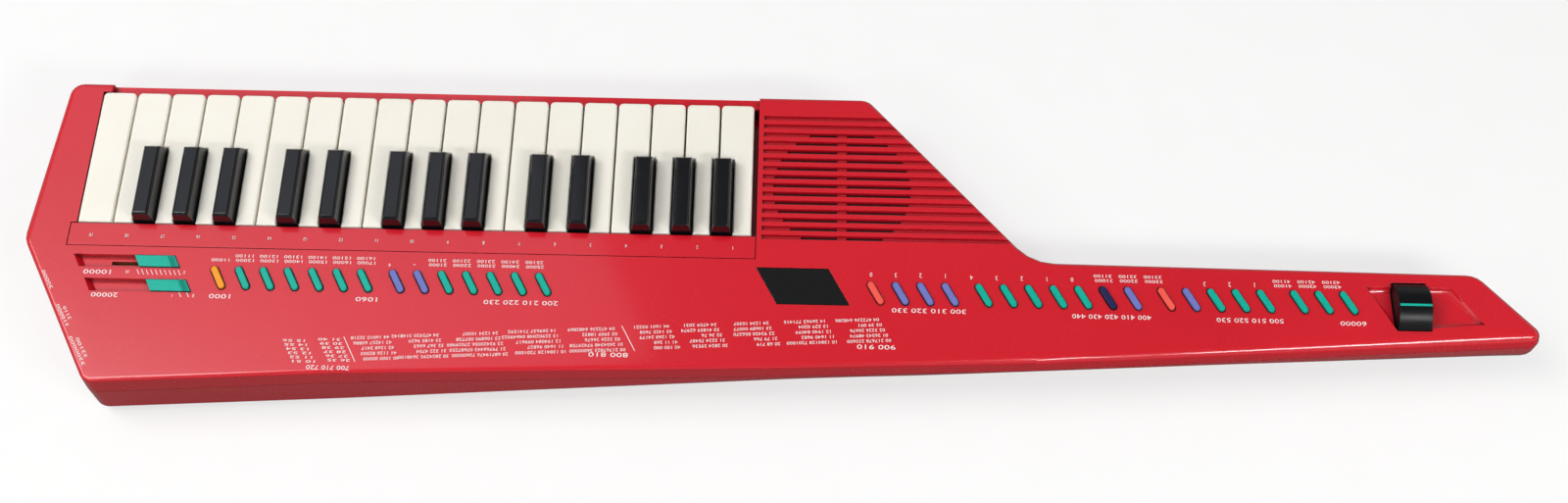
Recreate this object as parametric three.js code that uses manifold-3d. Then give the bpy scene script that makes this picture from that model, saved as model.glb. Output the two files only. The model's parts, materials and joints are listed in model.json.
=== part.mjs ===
// A strap-on keyboard (keytar) lying on its back: 32 mini keys, a speaker grille, two rows of
// slanted buttons, two sliders, a display and a pitch wheel near the tip of the neck.
// Millimetres. While it is built, X runs from the left edge of the first key towards the tip of
// the neck, Y from the rear line of the keys towards their fronts, and Z up from the top panel.

import * as THREE from 'three';
import * as BufferGeometryUtils from 'three/addons/utils/BufferGeometryUtils.js';
import Module from 'manifold-3d';

const wasm = await Module();
wasm.setup();

// Fits
const fitGap = 0.3;
const overrun = 1;
const weldDistance = 0.0001;

// Keys
const whiteCount = 19;
const whitePitch = 18;
const keySpacing = 1;
const whiteLength = 76.4;
const whiteLift = 0.6;
const keySkirt = 9.5;
const keyWall = 1.5;
const keyTopThickness = 2;
const keyEdge = 0.6;
const keyCornerRadius = 1.6;
const blackWidth = 10.3;
const blackTopWidth = 6.2;
const blackLength = 43.6;
const blackFrontSlope = 3.4;
const blackLift = 9.2;
const blackEdge = 1;
const blackClearance = 0.6;
const blackOuterShift = 2.3;
const blackPairShift = 1.7;
const keyTailLength = 10.6;
const keyTailTop = 2.6;
const keyAxisInset = 7;
const keyAxisDepth = 6.2;
const keyRodRadius = 1.2;

// Outline of the case, seen from above
const bodyFar = 83;
const cheekFar = 18.2;
const cheekWide = 25.9;
const cheekWideBack = 9.7;
const heelAlong = 17.9;
const heelBack = 87.8;
const nearBow = 2.1;
const neckRootPast = 60.7;
const neckRootBack = 10.7;
const neckRootWidth = 56.7;
const shoulderBefore = 22.2;
const tipPastWheel = 35.6;
const tipSlant = 35.8;
const tipBack = 12.6;
const tipWidth = 37.1;
const cheekRadius = 7.5;
const cheekWideRadius = 12;
const heelRadius = 7;
const tipFarRadius = 12;
const tipNearRadius = 5.9;
const neckRootRadius = 25;
const shoulderRadius = 8.5;

// Thickness of the case
const neckDepth = 24;
const caseWall = 2.5;
const topRound = 2.6;
const heelRound = 2;
const neckRound = 3.6;
const tipRound = 5;
const wallDraft = 0.6;
const partingAtHeel = 13;
const partingAtTip = 6.5;
const sideDrop = 6;
const sideSweep = 6;
const shoulderSideDepth = 24;
const neckRootSideDepth = 9.8;
const tipSideDepth = 13.6;
const neckSweep = 24;
const neckFarSweep = 15;
const bevelDepth = 13.2;
const bevelSweep = 38;
const tipSweep = 5.6;
const bevelStart = 140;
const bevelEnd = 362;
const rampPastSpeaker = 24.3;
const rampLength = 108;
const rampPitch = 18;

// Letter strip and keyboard chassis
const stripDepth = 12.9;
const stripGap = 0.5;
const stripThickness = 2;
const stripSink = 0.15;
const chassisEnd = 2.8;
const chassisWall = 1.5;
const chassisFloor = 14;
const keyGuideHeight = 6;
const keyGuideWidth = 2.4;
const keyGuideLength = 5;
const windowGap = 0.4;
const windowWall = 2;
const lipWidth = 6;
const lipInset = 4.2;
const lipDrop = 4.6;

// Slanted features all lean by the same angle
const slantAngle = THREE.MathUtils.degToRad(28);

// Buttons
const buttonLength = 14;
const buttonWidth = 3.6;
const buttonLift = 1.2;
const buttonGap = 0.4;
const buttonWeb = 1.5;
const buttonWebMargin = 1.3;
const bodyRowStart = 75.9;
const bodyRowBack = 30;
const bodyRowPitch = 12.2;
const bodyRowBreak = 16;
const neckRowPastDisplay = 23.6;
const neckRowBack = 31;
const neckRowPitch = 12.45;
const neckRowBreak = 16.8;

// Sliders
const sliderLength = 51;
const sliderWidth = 7;
const sliderDepth = 3.4;
const sliderFloor = 1.6;
const sliderRamp = 3;
const sliderKnobLength = 20;
const sliderKnobGap = 0.4;
const sliderKnobLift = 0.6;
const sliderSlot = 2;
const volumeAlong = 1.6;
const volumeBack = 18;
const volumeTravel = 20;
const powerAlong = 9.2;
const powerBack = 31.3;
const powerTravel = 4;
const sliderStem = 6;
const ridgeWidth = 0.5;
const ridgePitch = 1.1;
const ridgeHeight = 0.4;

// Display
const displayPastKeys = 2.4;
const displayBack = 17.8;
const displayLength = 36.6;
const displayDepth = 20.3;
const displayThickness = 1.4;
const displayRim = 3;

// Speaker grille
const grooveCount = 15;
const groovePitch = 5;
const grooveFirst = 69.6;
const grooveMargin = 2.6;
const grooveWidth = 2.6;
const grooveFloorWidth = 1.5;
const grooveDepth = 1.5;
const speakerMargin = 5.5;
const speakerFar = 28.4;
const grilleRadius = 35.5;
const grilleRib = 4.8;
const speakerRadius = 36;
const speakerHeight = 17;
const speakerRim = 1.6;

// Pitch wheel
const wheelPastButtons = 31.25;
const wheelBack = 32.4;
const wheelRadius = 14.8;
const wheelWidth = 16.6;
const wheelLift = 7.2;
const wheelSideGap = 0.5;
const wheelHub = 5.5;
const wheelSpare = THREE.MathUtils.degToRad(20);
const axleRadius = 2;
const bearingWall = 2.2;
const scoopDepth = 3;
const scoopSlope = 4;
const scoopFar = 21.7;
const scoopNear = 45.2;
const scoopRise = 3.8;
const scoopBeforeWheel = 21.4;
const scoopLength = 43;
const scoopPastWheel = 35.7;

// Control board
const boardTop = 7.4;
const boardThickness = 1.6;
const boardFar = 19;
const boardNear = 41;
const boardBeforeWheel = 27;
const boardStart = 6;

// Screws
const bossRadius = 3.2;
const screwRadius = 1.5;
const screwHeadRadius = 2.7;
const screwSeat = 3;

// Battery bay, for three rows of two round cells
const cellLength = 50.5;
const cellDiameter = 14.5;
const contactSpace = 7;
const cellSpace = 2;
const cellRowSpace = 2.5;
const bayStart = 62;
const bayNear = 6;
const bayWall = 2;
const bayClearance = 0.5;
const coverThickness = 2;
const coverMargin = 2.4;
const coverSink = 0.2;
const tabReach = 2.4;
const tabWidth = 9;
const tabThickness = 0.8;
const tabInset = 6;
const latchWidth = 14;
const latchHeight = 4.5;
const latchThickness = 1.2;
const fingerRadius = 9;
const fingerDepth = 1.5;

// Sockets in the slanted end wall, measured along it from the widest point of the cheek
const socketClearance = 3.3;
const powerSocketAlong = 29;
const powerSocketRadius = 4.4;
const phonesAlong = 51.5;
const phonesRadius = 4.2;
const midiAlong = 73;
const midiRadius = 6.8;
const socketLength = 12;
const socketFlange = 1.6;
const socketSink = 0.5;

// Strap pins
const pinRadius = 3;
const pinHeadRadius = 5;
const pinLength = 7;
const pinBase = 1.6;
const endPinFar = 36;
const endPinDepth = 23.5;
const neckPinPastRamp = 12;
const neckPinBack = 35;

// Finishes
const redPlastic = new THREE.MeshStandardMaterial({ color: 0xd2212f, roughness: 0.32, metalness: 0 });
const ivoryPlastic = new THREE.MeshStandardMaterial({ color: 0xf1ece2, roughness: 0.3, metalness: 0 });
const blackPlastic = new THREE.MeshStandardMaterial({ color: 0x14161a, roughness: 0.22, metalness: 0 });
const tealPlastic = new THREE.MeshStandardMaterial({ color: 0x2fae98, roughness: 0.5, metalness: 0 });
const purpleRubber = new THREE.MeshStandardMaterial({ color: 0x7d78b8, roughness: 0.55, metalness: 0 });
const orangeRubber = new THREE.MeshStandardMaterial({ color: 0xf0902a, roughness: 0.55, metalness: 0 });
const coralRubber = new THREE.MeshStandardMaterial({ color: 0xf04a3c, roughness: 0.55, metalness: 0 });
const navyRubber = new THREE.MeshStandardMaterial({ color: 0x1d1f4a, roughness: 0.55, metalness: 0 });
const smokedAcrylic = new THREE.MeshStandardMaterial({ color: 0x08080a, roughness: 0.08, metalness: 0 });
const boardLaminate = new THREE.MeshStandardMaterial({ color: 0x6c5a2c, roughness: 0.6, metalness: 0 });
const speakerPaper = new THREE.MeshStandardMaterial({ color: 0x1b1a1a, roughness: 0.9, metalness: 0 });
const platedSteel = new THREE.MeshStandardMaterial({ color: 0xc9ccd0, roughness: 0.25, metalness: 1 });

// Flatness of the sweep under the case: 1 is an ellipse
const sweepPower = 1.33;

// Resolution of round shapes
const arcStep = Math.PI / 10;
const filletSteps = 4;
const sweepSteps = 5;
const roundSides = 12;
const wheelSteps = 18;
const speakerSides = 24;
const pillSteps = 4;

// The body is as deep as the keyboard chassis with the battery bay and its cover below it.
const bayLength = 2 * cellLength + contactSpace;
const bayWidth = 3 * cellDiameter + cellRowSpace;
const bayHeight = cellDiameter + cellSpace;
const bodyDepth = chassisFloor + chassisWall + bayClearance + bayWall + bayHeight + coverThickness
  + coverSink + fitGap;
const sideDepth = bodyDepth - sideDrop;
const socketDepth = bodyDepth - caseWall - midiRadius - socketFlange - socketClearance;

// The speaker stands beside the keyboard's window, and the shoulder and the neck follow it.
const keyboardWidth = whiteCount * whitePitch;
const windowRight = keyboardWidth + chassisEnd - keySpacing + windowGap;
const speakerAlong = windowRight + windowWall + speakerMargin + speakerRadius;
const shoulderAlong = speakerAlong + speakerRadius - shoulderBefore;
const neckRootAlong = speakerAlong + speakerRadius + neckRootPast;
const grooveStart = windowRight + grooveMargin;
const rampStart = speakerAlong + rampPastSpeaker;
const rampEnd = rampStart + rampLength;
const neckPinAlong = rampEnd + neckPinPastRamp;

// The display and the neck's buttons follow the keyboard.
const displayAlong = keyboardWidth + displayPastKeys;
const neckRowStart = displayAlong + displayLength + neckRowPastDisplay;

const bodyRowGroups = {
  demo_button: { count: 1, material: orangeRubber },
  mode_buttons: { count: 6, material: tealPlastic },
  value_buttons: { count: 2, material: purpleRubber, broken: true },
  parameter_buttons: { count: 5, material: tealPlastic },
};
const neckRowGroups = {
  record_button: { count: 1, material: coralRubber },
  sequence_buttons: { count: 3, material: purpleRubber },
  digit_buttons: { count: 5, material: tealPlastic, broken: true },
  style_button: { count: 1, material: navyRubber },
  voice_button: { count: 1, material: purpleRubber },
  start_button: { count: 1, material: coralRubber, broken: true },
  synchro_button: { count: 1, material: purpleRubber },
  fill_buttons: { count: 3, material: tealPlastic },
  effect_buttons: { count: 3, material: tealPlastic, broken: true },
};

// The centre of every button, row by row; a broken group starts after a wider space.
function rowOfGroups(groups, start, back, pitch, wide) {
  let along = start - pitch;
  return Object.entries(groups).map(([name, group]) => {
    along += group.broken ? wide - pitch : 0;
    const centres = [];
    for (let i = 0; i < group.count; i += 1) {
      along += pitch;
      centres.push([along, -back]);
    }
    return { name, material: group.material, centres };
  });
}

const buttonGroups = [
  ...rowOfGroups(bodyRowGroups, bodyRowStart, bodyRowBack, bodyRowPitch, bodyRowBreak),
  ...rowOfGroups(neckRowGroups, neckRowStart, neckRowBack, neckRowPitch, neckRowBreak),
];

// The wheel, its scoop, the tip and the end of the board follow the last button.
const lastButtonAlong = buttonGroups.at(-1).centres.at(-1)[0];
const wheelAlong = lastButtonAlong + wheelPastButtons;
const scoopStart = wheelAlong - scoopBeforeWheel;
const scoopEnd = wheelAlong + scoopPastWheel;
const boardEnd = wheelAlong - boardBeforeWheel;
const tipFarAlong = wheelAlong + tipPastWheel;
const tipNearAlong = tipFarAlong + tipSlant;

const keytar = new THREE.Group();

// Turns a closed geometry into a solid that can be cut and joined.
function solidOf(geometry) {
  const bare = geometry.clone();
  bare.deleteAttribute('normal');
  bare.deleteAttribute('uv');
  const merged = BufferGeometryUtils.mergeVertices(bare, weldDistance);
  const corners = merged.index.array;
  const kept = [];
  for (let i = 0; i < corners.length; i += 3) {
    const [a, b, c] = [corners[i], corners[i + 1], corners[i + 2]];
    if (a !== b && b !== c && c !== a) kept.push(a, b, c);
  }
  return new wasm.Manifold(new wasm.Mesh({
    numProp: 3,
    vertProperties: new Float32Array(merged.attributes.position.array),
    triVerts: new Uint32Array(kept),
  }));
}

// Adds a solid to the model as a named mesh.
function addPiece(name, solid, material) {
  const { vertProperties, triVerts } = solid.getMesh();
  const geometry = new THREE.BufferGeometry();
  geometry.setAttribute('position', new THREE.BufferAttribute(new Float32Array(vertProperties), 3));
  geometry.setIndex(new THREE.BufferAttribute(new Uint32Array(triVerts), 1));
  geometry.computeVertexNormals();
  const mesh = new THREE.Mesh(geometry, material);
  mesh.name = name;
  keytar.add(mesh);
  return mesh;
}

function unionOf(solids) {
  return solids.reduce((whole, solid) => whole.add(solid));
}

function box(x0, x1, y0, y1, z0, z1) {
  const geometry = new THREE.BoxGeometry(x1 - x0, y1 - y0, z1 - z0);
  return solidOf(geometry.translate((x0 + x1) / 2, (y0 + y1) / 2, (z0 + z1) / 2));
}

// A flat outline, a list of [x, y], raised from z0 to z1.
function prism(outline, z0, z1) {
  const shape = new THREE.Shape(outline.map(([x, y]) => new THREE.Vector2(x, y)));
  const geometry = new THREE.ExtrudeGeometry(shape, { depth: z1 - z0, bevelEnabled: false });
  return solidOf(geometry.translate(0, 0, z0));
}

// An outline in the Y-Z plane, a list of [y, z], drawn out along X.
function profileAlongX(outline, x0, x1) {
  const shape = new THREE.Shape(outline.map(([y, z]) => new THREE.Vector2(y, z)));
  const geometry = new THREE.ExtrudeGeometry(shape, { depth: x1 - x0, bevelEnabled: false });
  const turn = new THREE.Matrix4().makeBasis(
    new THREE.Vector3(0, 1, 0), new THREE.Vector3(0, 0, 1), new THREE.Vector3(1, 0, 0));
  return solidOf(geometry.applyMatrix4(turn).translate(x0, 0, 0));
}

function post(x, y, radius, z0, z1, sides = roundSides) {
  const geometry = new THREE.CylinderGeometry(radius, radius, z1 - z0, sides);
  return solidOf(geometry.rotateX(Math.PI / 2).translate(x, y, (z0 + z1) / 2));
}

function rodAlongX(y, z, radius, x0, x1, sides = roundSides) {
  const geometry = new THREE.CylinderGeometry(radius, radius, x1 - x0, sides);
  return solidOf(geometry.rotateZ(Math.PI / 2).translate((x0 + x1) / 2, y, z));
}

// A closed profile, a list of [radius, height], turned about its own axis.
function turned(profile, sides) {
  const points = profile.map(([radius, height]) => new THREE.Vector2(radius, height));
  return solidOf(new THREE.LatheGeometry(points, sides).rotateX(Math.PI / 2));
}

// Points that step round an arc, as [x, y].
function arcPoints(x, y, radius, from, to, steps) {
  const points = [];
  for (let step = 0; step <= steps; step += 1) {
    const angle = from + ((to - from) * step) / steps;
    points.push([x + radius * Math.cos(angle), y + radius * Math.sin(angle)]);
  }
  return points;
}

// A four-sided outline whose ends lean by the slant angle. (along, back) is its far left corner.
function slantedOutline(along, back, length, width, grow = 0) {
  const lean = Math.tan(slantAngle);
  const reach = grow / Math.cos(slantAngle);
  const farLean = -grow * lean;
  const nearLean = (width + grow) * lean;
  return [
    [along + farLean - reach, -back + grow],
    [along + nearLean - reach, -back - width - grow],
    [along + nearLean + length + reach, -back - width - grow],
    [along + farLean + length + reach, -back + grow],
  ];
}

// The case outline: corners in turn, each with the radius of its arc, the depth of the straight
// side wall below the top panel, the width over which the lower case sweeps under, and the
// rounding of the panel's edge.
function caseCorners() {
  const bodyDiagonal = (shoulderAlong + neckRootAlong) / 2;
  const neckRootNear = neckRootBack + neckRootWidth;
  const nearEdge = (along) => {
    const share = (along - heelAlong) / (neckRootAlong - heelAlong);
    return -THREE.MathUtils.lerp(heelBack, neckRootNear, share);
  };
  const body = { wall: sideDepth, sweep: sideSweep, round: topRound };
  const shoulder = { ...body, wall: shoulderSideDepth };
  const neck = { ...body, wall: neckRootSideDepth, sweep: neckSweep };
  const tip = { ...body, wall: tipSideDepth, sweep: tipSweep };
  return [
    { ...shoulder, x: shoulderAlong, y: bodyFar, radius: shoulderRadius },
    { ...body, x: -cheekFar, y: bodyFar, radius: cheekRadius },
    { ...body, x: -cheekWide, y: -cheekWideBack, radius: cheekWideRadius },
    { ...body, x: heelAlong, y: -heelBack, radius: heelRadius, round: heelRound },
    { ...body, x: bevelStart, y: nearEdge(bevelStart) + nearBow, radius: 0, round: heelRound },
    { ...neck, x: bevelEnd, y: nearEdge(bevelEnd), radius: 0, wall: bevelDepth, sweep: bevelSweep },
    { ...neck, x: neckRootAlong, y: -neckRootNear, radius: 0, round: neckRound },
    { ...tip, x: tipNearAlong, y: -tipBack - tipWidth, radius: tipNearRadius, round: tipRound },
    { ...tip, x: tipFarAlong, y: -tipBack, radius: tipFarRadius },
    { ...neck, x: neckRootAlong, y: -neckRootBack, radius: neckRootRadius, sweep: neckFarSweep },
    { ...shoulder, x: bodyDiagonal, y: (bodyFar - neckRootBack) / 2, radius: 0 },
  ];
}

// Rounds the corners of an outline and gives every point the direction that faces outwards. The
// sweep and the rounding stay within their corner's arc.
function roundedOutline(corners) {
  const points = [];
  corners.forEach((corner, index) => {
    const before = corners[(index + corners.length - 1) % corners.length];
    const after = corners[(index + 1) % corners.length];
    const arrive = new THREE.Vector2(corner.x - before.x, corner.y - before.y).normalize();
    const leave = new THREE.Vector2(after.x - corner.x, after.y - corner.y).normalize();
    const turn = Math.atan2(arrive.cross(leave), arrive.dot(leave));
    const facing = Math.atan2(-arrive.x, arrive.y);
    const side = Math.sign(turn);
    const steps = corner.radius === 0 ? 0 : Math.max(1, Math.ceil(Math.abs(turn) / arcStep));
    const reach = corner.radius * Math.tan(Math.abs(turn) / 2);
    const centreX = corner.x - arrive.x * reach - arrive.y * corner.radius * side;
    const centreY = corner.y - arrive.y * reach + arrive.x * corner.radius * side;
    for (let step = 0; step <= steps; step += 1) {
      const angle = facing + (steps === 0 ? turn / 2 : (turn * step) / steps);
      const outX = Math.cos(angle);
      const outY = Math.sin(angle);
      const x = centreX + outX * corner.radius * side;
      const y = centreY + outY * corner.radius * side;
      const limit = corner.radius > 0 ? corner.radius - fitGap : Infinity;
      const sweep = Math.min(corner.sweep, limit);
      const round = Math.min(corner.round, limit - wallDraft);
      points.push({ x, y, outX, outY, wall: corner.wall, sweep, round });
    }
  });
  return points;
}

// Adds points where long straight edges cross the stations of the ramp under the neck.
function withRampStations(points) {
  const steps = Math.ceil(rampLength / rampPitch);
  const stations = [];
  for (let step = 0; step <= steps; step += 1) {
    stations.push(THREE.MathUtils.lerp(rampStart, rampEnd, step / steps));
  }
  const result = [];
  points.forEach((point, index) => {
    const next = points[(index + 1) % points.length];
    result.push(point);
    const span = next.x - point.x;
    const crossed = stations
      .map((station) => (station - point.x) / span)
      .filter((share) => share > 0 && share < 1 && Math.abs(span) > rampPitch / 2)
      .sort((a, b) => a - b);
    crossed.forEach((share) => {
      const mixed = {};
      Object.keys(point).forEach((key) => {
        mixed[key] = THREE.MathUtils.lerp(point[key], next[key], share);
      });
      result.push(mixed);
    });
  });
  return result;
}

const caseOutline = withRampStations(roundedOutline(caseCorners()));

function partingDepth(x) {
  const share = (x + cheekWide) / (tipNearAlong + cheekWide);
  return THREE.MathUtils.lerp(partingAtHeel, partingAtTip, share);
}

function undersideDepth(x) {
  return THREE.MathUtils.lerp(bodyDepth, neckDepth, THREE.MathUtils.smoothstep(x, rampStart, rampEnd));
}

function ringOf(insetOf, heightOf) {
  return caseOutline.map((point) => {
    const inset = insetOf(point);
    return new THREE.Vector3(point.x - point.outX * inset, point.y - point.outY * inset, heightOf(point));
  });
}

// Fills a ring whose two long sides both run from its left end to its right end, by joining
// the points of one side to those of the other in the order of their X.
function zipAcross(ring) {
  const order = ring.map((point, index) => index);
  const left = order.reduce((best, index) => (ring[index].x < ring[best].x ? index : best));
  const right = order.reduce((best, index) => (ring[index].x > ring[best].x ? index : best));
  const count = ring.length;
  let near = left;
  let far = left;
  const faces = [];
  while (near !== right || far !== right) {
    const nextNear = (near + 1) % count;
    const nextFar = (far + count - 1) % count;
    const stepNear = far === right || (near !== right && ring[nextNear].x <= ring[nextFar].x);
    if (stepNear) {
      if (nextNear !== far) faces.push([near, nextNear, far]);
      near = nextNear;
    } else {
      if (nextFar !== near) faces.push([near, far, nextFar].reverse());
      far = nextFar;
    }
  }
  return faces.map(([a, b, c]) => {
    const cross = (ring[b].x - ring[a].x) * (ring[c].y - ring[a].y)
      - (ring[c].x - ring[a].x) * (ring[b].y - ring[a].y);
    return cross > 0 ? [a, b, c] : [a, c, b];
  });
}

// Skins a stack of rings, from the lowest to the highest, and closes both ends.
function loft(rings) {
  const count = rings[0].length;
  const positions = rings.flat().flatMap((point) => [point.x, point.y, point.z]);
  const index = [];
  for (let level = 0; level + 1 < rings.length; level += 1) {
    for (let i = 0; i < count; i += 1) {
      const a = level * count + i;
      const b = level * count + ((i + 1) % count);
      index.push(a, b, b + count, a, b + count, a + count);
    }
  }
  const top = (rings.length - 1) * count;
  zipAcross(rings[0]).forEach(([a, b, c]) => index.push(a, c, b));
  zipAcross(rings[rings.length - 1]).forEach(([a, b, c]) => index.push(top + a, top + b, top + c));
  const geometry = new THREE.BufferGeometry();
  geometry.setAttribute('position', new THREE.Float32BufferAttribute(positions, 3));
  geometry.setIndex(index);
  return solidOf(geometry);
}

// The outside of the upper case: side wall, top fillet and flat panel.
function upperForm() {
  const rings = [
    ringOf(() => 0, (point) => -partingDepth(point.x) + fitGap / 2),
  ];
  for (let step = 0; step <= filletSteps; step += 1) {
    const angle = (Math.PI / 2) * (step / filletSteps);
    rings.push(ringOf(
      (point) => wallDraft + point.round * (1 - Math.cos(angle)),
      (point) => point.round * (Math.sin(angle) - 1)));
  }
  return loft(rings);
}

function upperHollow() {
  const inset = caseWall + wallDraft;
  const corner = caseWall / 2;
  return loft([
    ringOf(() => caseWall, (point) => -partingDepth(point.x) - overrun),
    ringOf(() => inset, () => -caseWall - corner),
    ringOf(() => inset + corner, () => -caseWall),
  ]);
}

// The lower case sweeps under from its side wall in a quarter of a flattened ellipse.
function lowerForm(thickness, rise) {
  const rings = [];
  for (let step = sweepSteps; step >= 0; step -= 1) {
    const angle = (Math.PI / 2) * (step / sweepSteps);
    const acrossShare = step === sweepSteps ? 1 : 1 - Math.cos(angle) ** sweepPower;
    const downShare = Math.sin(angle) ** sweepPower;
    const inset = (point) => thickness + (point.sweep - thickness) * acrossShare;
    const height = (point) => {
      const drop = undersideDepth(point.x) - point.wall - thickness;
      return -point.wall - drop * downShare;
    };
    rings.push(ringOf(inset, height));
  }
  rings.push(ringOf(() => thickness, (point) => -partingDepth(point.x) - fitGap / 2 + rise));
  return loft(rings);
}

// Screw posts, [along, far], away from the keys, the speaker and the boards. The posts of the two
// cases are cut off by the parting plane.
const screwPlaces = [
  [-cheekFar + 2 * caseWall + fitGap, bodyFar - bossRadius - 3 * caseWall],
  [-cheekWide / 2, -cheekWideBack / 2],
  [heelAlong + 4 * bossRadius, -heelBack + 5 * bossRadius],
  [bevelStart + 20 * bossRadius, -heelBack + 8 * bossRadius],
  [keyboardWidth + 4 * bossRadius, bodyFar - 3 * bossRadius],
  [keyboardWidth + 4 * bossRadius, -heelBack + 8 * bossRadius],
  [neckRootAlong + 12 * bossRadius, -neckRootBack - neckRootWidth + 4 * bossRadius],
  [scoopEnd + 3 * bossRadius, -tipBack - tipWidth / 2 - 2 * bossRadius],
];

function upperPosts(form) {
  const posts = screwPlaces.map(
    ([x, y]) => post(x, y, bossRadius, -partingDepth(x) - overrun, -caseWall / 2));
  const holes = screwPlaces.map(([x, y]) => post(x, y, screwRadius - fitGap,
    -partingDepth(x) - 2 * overrun, -2 * caseWall, roundSides / 2));
  return unionOf(posts).intersect(form).subtract(unionOf(holes));
}

function lowerPosts(form) {
  const posts = screwPlaces.map(
    ([x, y]) => post(x, y, bossRadius + caseWall / 2, -bodyDepth, -partingDepth(x) + overrun));
  return unionOf(posts).intersect(form);
}

function screwHoles() {
  const holes = screwPlaces.map(([x, y]) => {
    const head = partingDepth(x);
    const shank = post(x, y, screwRadius, -bodyDepth - overrun, -head + overrun, roundSides);
    const bore = post(x, y, screwHeadRadius, -bodyDepth - overrun, -head - screwSeat);
    return shank.add(bore);
  });
  return unionOf(holes);
}

// Keyboard layout: key 0 is the highest note, at the left as the instrument lies here.
const whiteNotes = ['C6', 'B5', 'A5', 'G5', 'F5', 'E5', 'D5', 'C5', 'B4', 'A4', 'G4', 'F4', 'E4',
  'D4', 'C4', 'B3', 'A3', 'G3', 'F3'];
const blackShifts = {
  A: -blackOuterShift,
  G: 0,
  F: blackOuterShift,
  D: -blackPairShift,
  C: blackPairShift,
};

// A black key stands on the line between its own white key and the one above it.
const blackKeys = whiteNotes.flatMap((note, index) => {
  const letter = note[0];
  if (!(letter in blackShifts) || index === 0) return [];
  return [{ name: `black_${letter}s${note[1]}`, centre: index * whitePitch + blackShifts[letter], index }];
});

function blackAt(index) {
  return blackKeys.find((key) => key.index === index);
}

// The plan of a white key, drawn in by an inset: full width in front, cut back beside black keys.
function whitePlan(index, inset) {
  const left = index * whitePitch + keySpacing / 2 + inset;
  const right = (index + 1) * whitePitch - keySpacing / 2 - inset;
  const reach = blackWidth / 2 + blackClearance + inset;
  const lower = blackAt(index);
  const upper = blackAt(index + 1);
  const notchFar = blackLength + blackClearance + inset;
  const tailLeft = lower ? lower.centre + reach : left;
  const tailRight = upper ? upper.centre - reach : right;
  const front = whiteLength - inset;
  const rear = -keyTailLength + inset;
  const radius = keyCornerRadius;
  const outline = [[tailLeft, rear], [tailRight, rear]];
  if (upper) outline.push([tailRight, notchFar], [right, notchFar]);
  outline.push(...arcPoints(right - radius, front - radius, radius, 0, Math.PI / 2, 2));
  outline.push(...arcPoints(left + radius, front - radius, radius, Math.PI / 2, Math.PI, 2));
  if (lower) outline.push([left, notchFar], [tailLeft, notchFar]);
  return outline;
}

// The open hook under a key's tail, which snaps over the rod.
function hookCut(x0, x1) {
  const radius = keyRodRadius + fitGap;
  const throat = arcPoints(-keyAxisInset, -keyAxisDepth, radius, 0, Math.PI, roundSides / 2);
  const foot = -keySkirt - overrun;
  return profileAlongX([...throat, [-keyAxisInset - radius, foot], [-keyAxisInset + radius, foot]], x0, x1);
}

function whiteKey(index) {
  const left = index * whitePitch;
  const right = left + whitePitch;
  const shape = new THREE.Shape(whitePlan(index, keyEdge).map(([x, y]) => new THREE.Vector2(x, y)));
  const body = solidOf(new THREE.ExtrudeGeometry(shape, {
    depth: keySkirt + whiteLift,
    bevelEnabled: true,
    bevelThickness: keyEdge,
    bevelSize: keyEdge,
    bevelSegments: 1,
  }).translate(0, 0, -keySkirt - keyEdge));
  const side = profileAlongX([
    [-keyTailLength, -keySkirt],
    [whiteLength, -keySkirt],
    [whiteLength, whiteLift],
    [0, whiteLift],
    [0, -keyTailTop],
    [-keyTailLength, -keyTailTop],
  ], left, right);
  const hollow = prism(whitePlan(index, keyWall), -keySkirt - overrun, whiteLift - keyTopThickness);
  const frontOnly = box(left, right, keyWall, whiteLength, -keySkirt - overrun, whiteLift);
  return body.intersect(side).subtract(hollow.intersect(frontOnly)).subtract(hookCut(left, right));
}

function blackKey(centre) {
  const base = blackWidth / 2;
  const top = blackTopWidth / 2;
  const section = [
    [-base, -keySkirt],
    [base, -keySkirt],
    [base, whiteLift],
    [top + blackEdge, blackLift - blackEdge],
    [top, blackLift],
    [-top, blackLift],
    [-top - blackEdge, blackLift - blackEdge],
    [-base, whiteLift],
  ];
  const shape = new THREE.Shape(section.map(([x, z]) => new THREE.Vector2(x, z)));
  const geometry = new THREE.ExtrudeGeometry(shape, { depth: blackLength, bevelEnabled: false });
  const bar = solidOf(geometry.rotateX(Math.PI / 2).translate(centre, blackLength, 0));
  const side = profileAlongX([
    [blackClearance, -keySkirt],
    [blackLength, -keySkirt],
    [blackLength, whiteLift],
    [blackLength - blackFrontSlope, blackLift - blackEdge],
    [blackLength - blackFrontSlope - blackEdge, blackLift],
    [blackClearance + blackEdge, blackLift],
    [blackClearance, blackLift - blackEdge],
  ], centre - base - overrun, centre + base + overrun);
  const tail = box(centre - top, centre + top, -keyTailLength, blackEdge, -keySkirt, -keyTailTop);
  return bar.intersect(side).add(tail).subtract(hookCut(centre - base, centre + base));
}

function addKeys() {
  whiteNotes.forEach((note, index) => {
    addPiece(`white_${note}`, whiteKey(index), ivoryPlastic);
  });
  blackKeys.forEach(({ name, centre }) => {
    addPiece(name, blackKey(centre), blackPlastic);
  });
}

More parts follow.
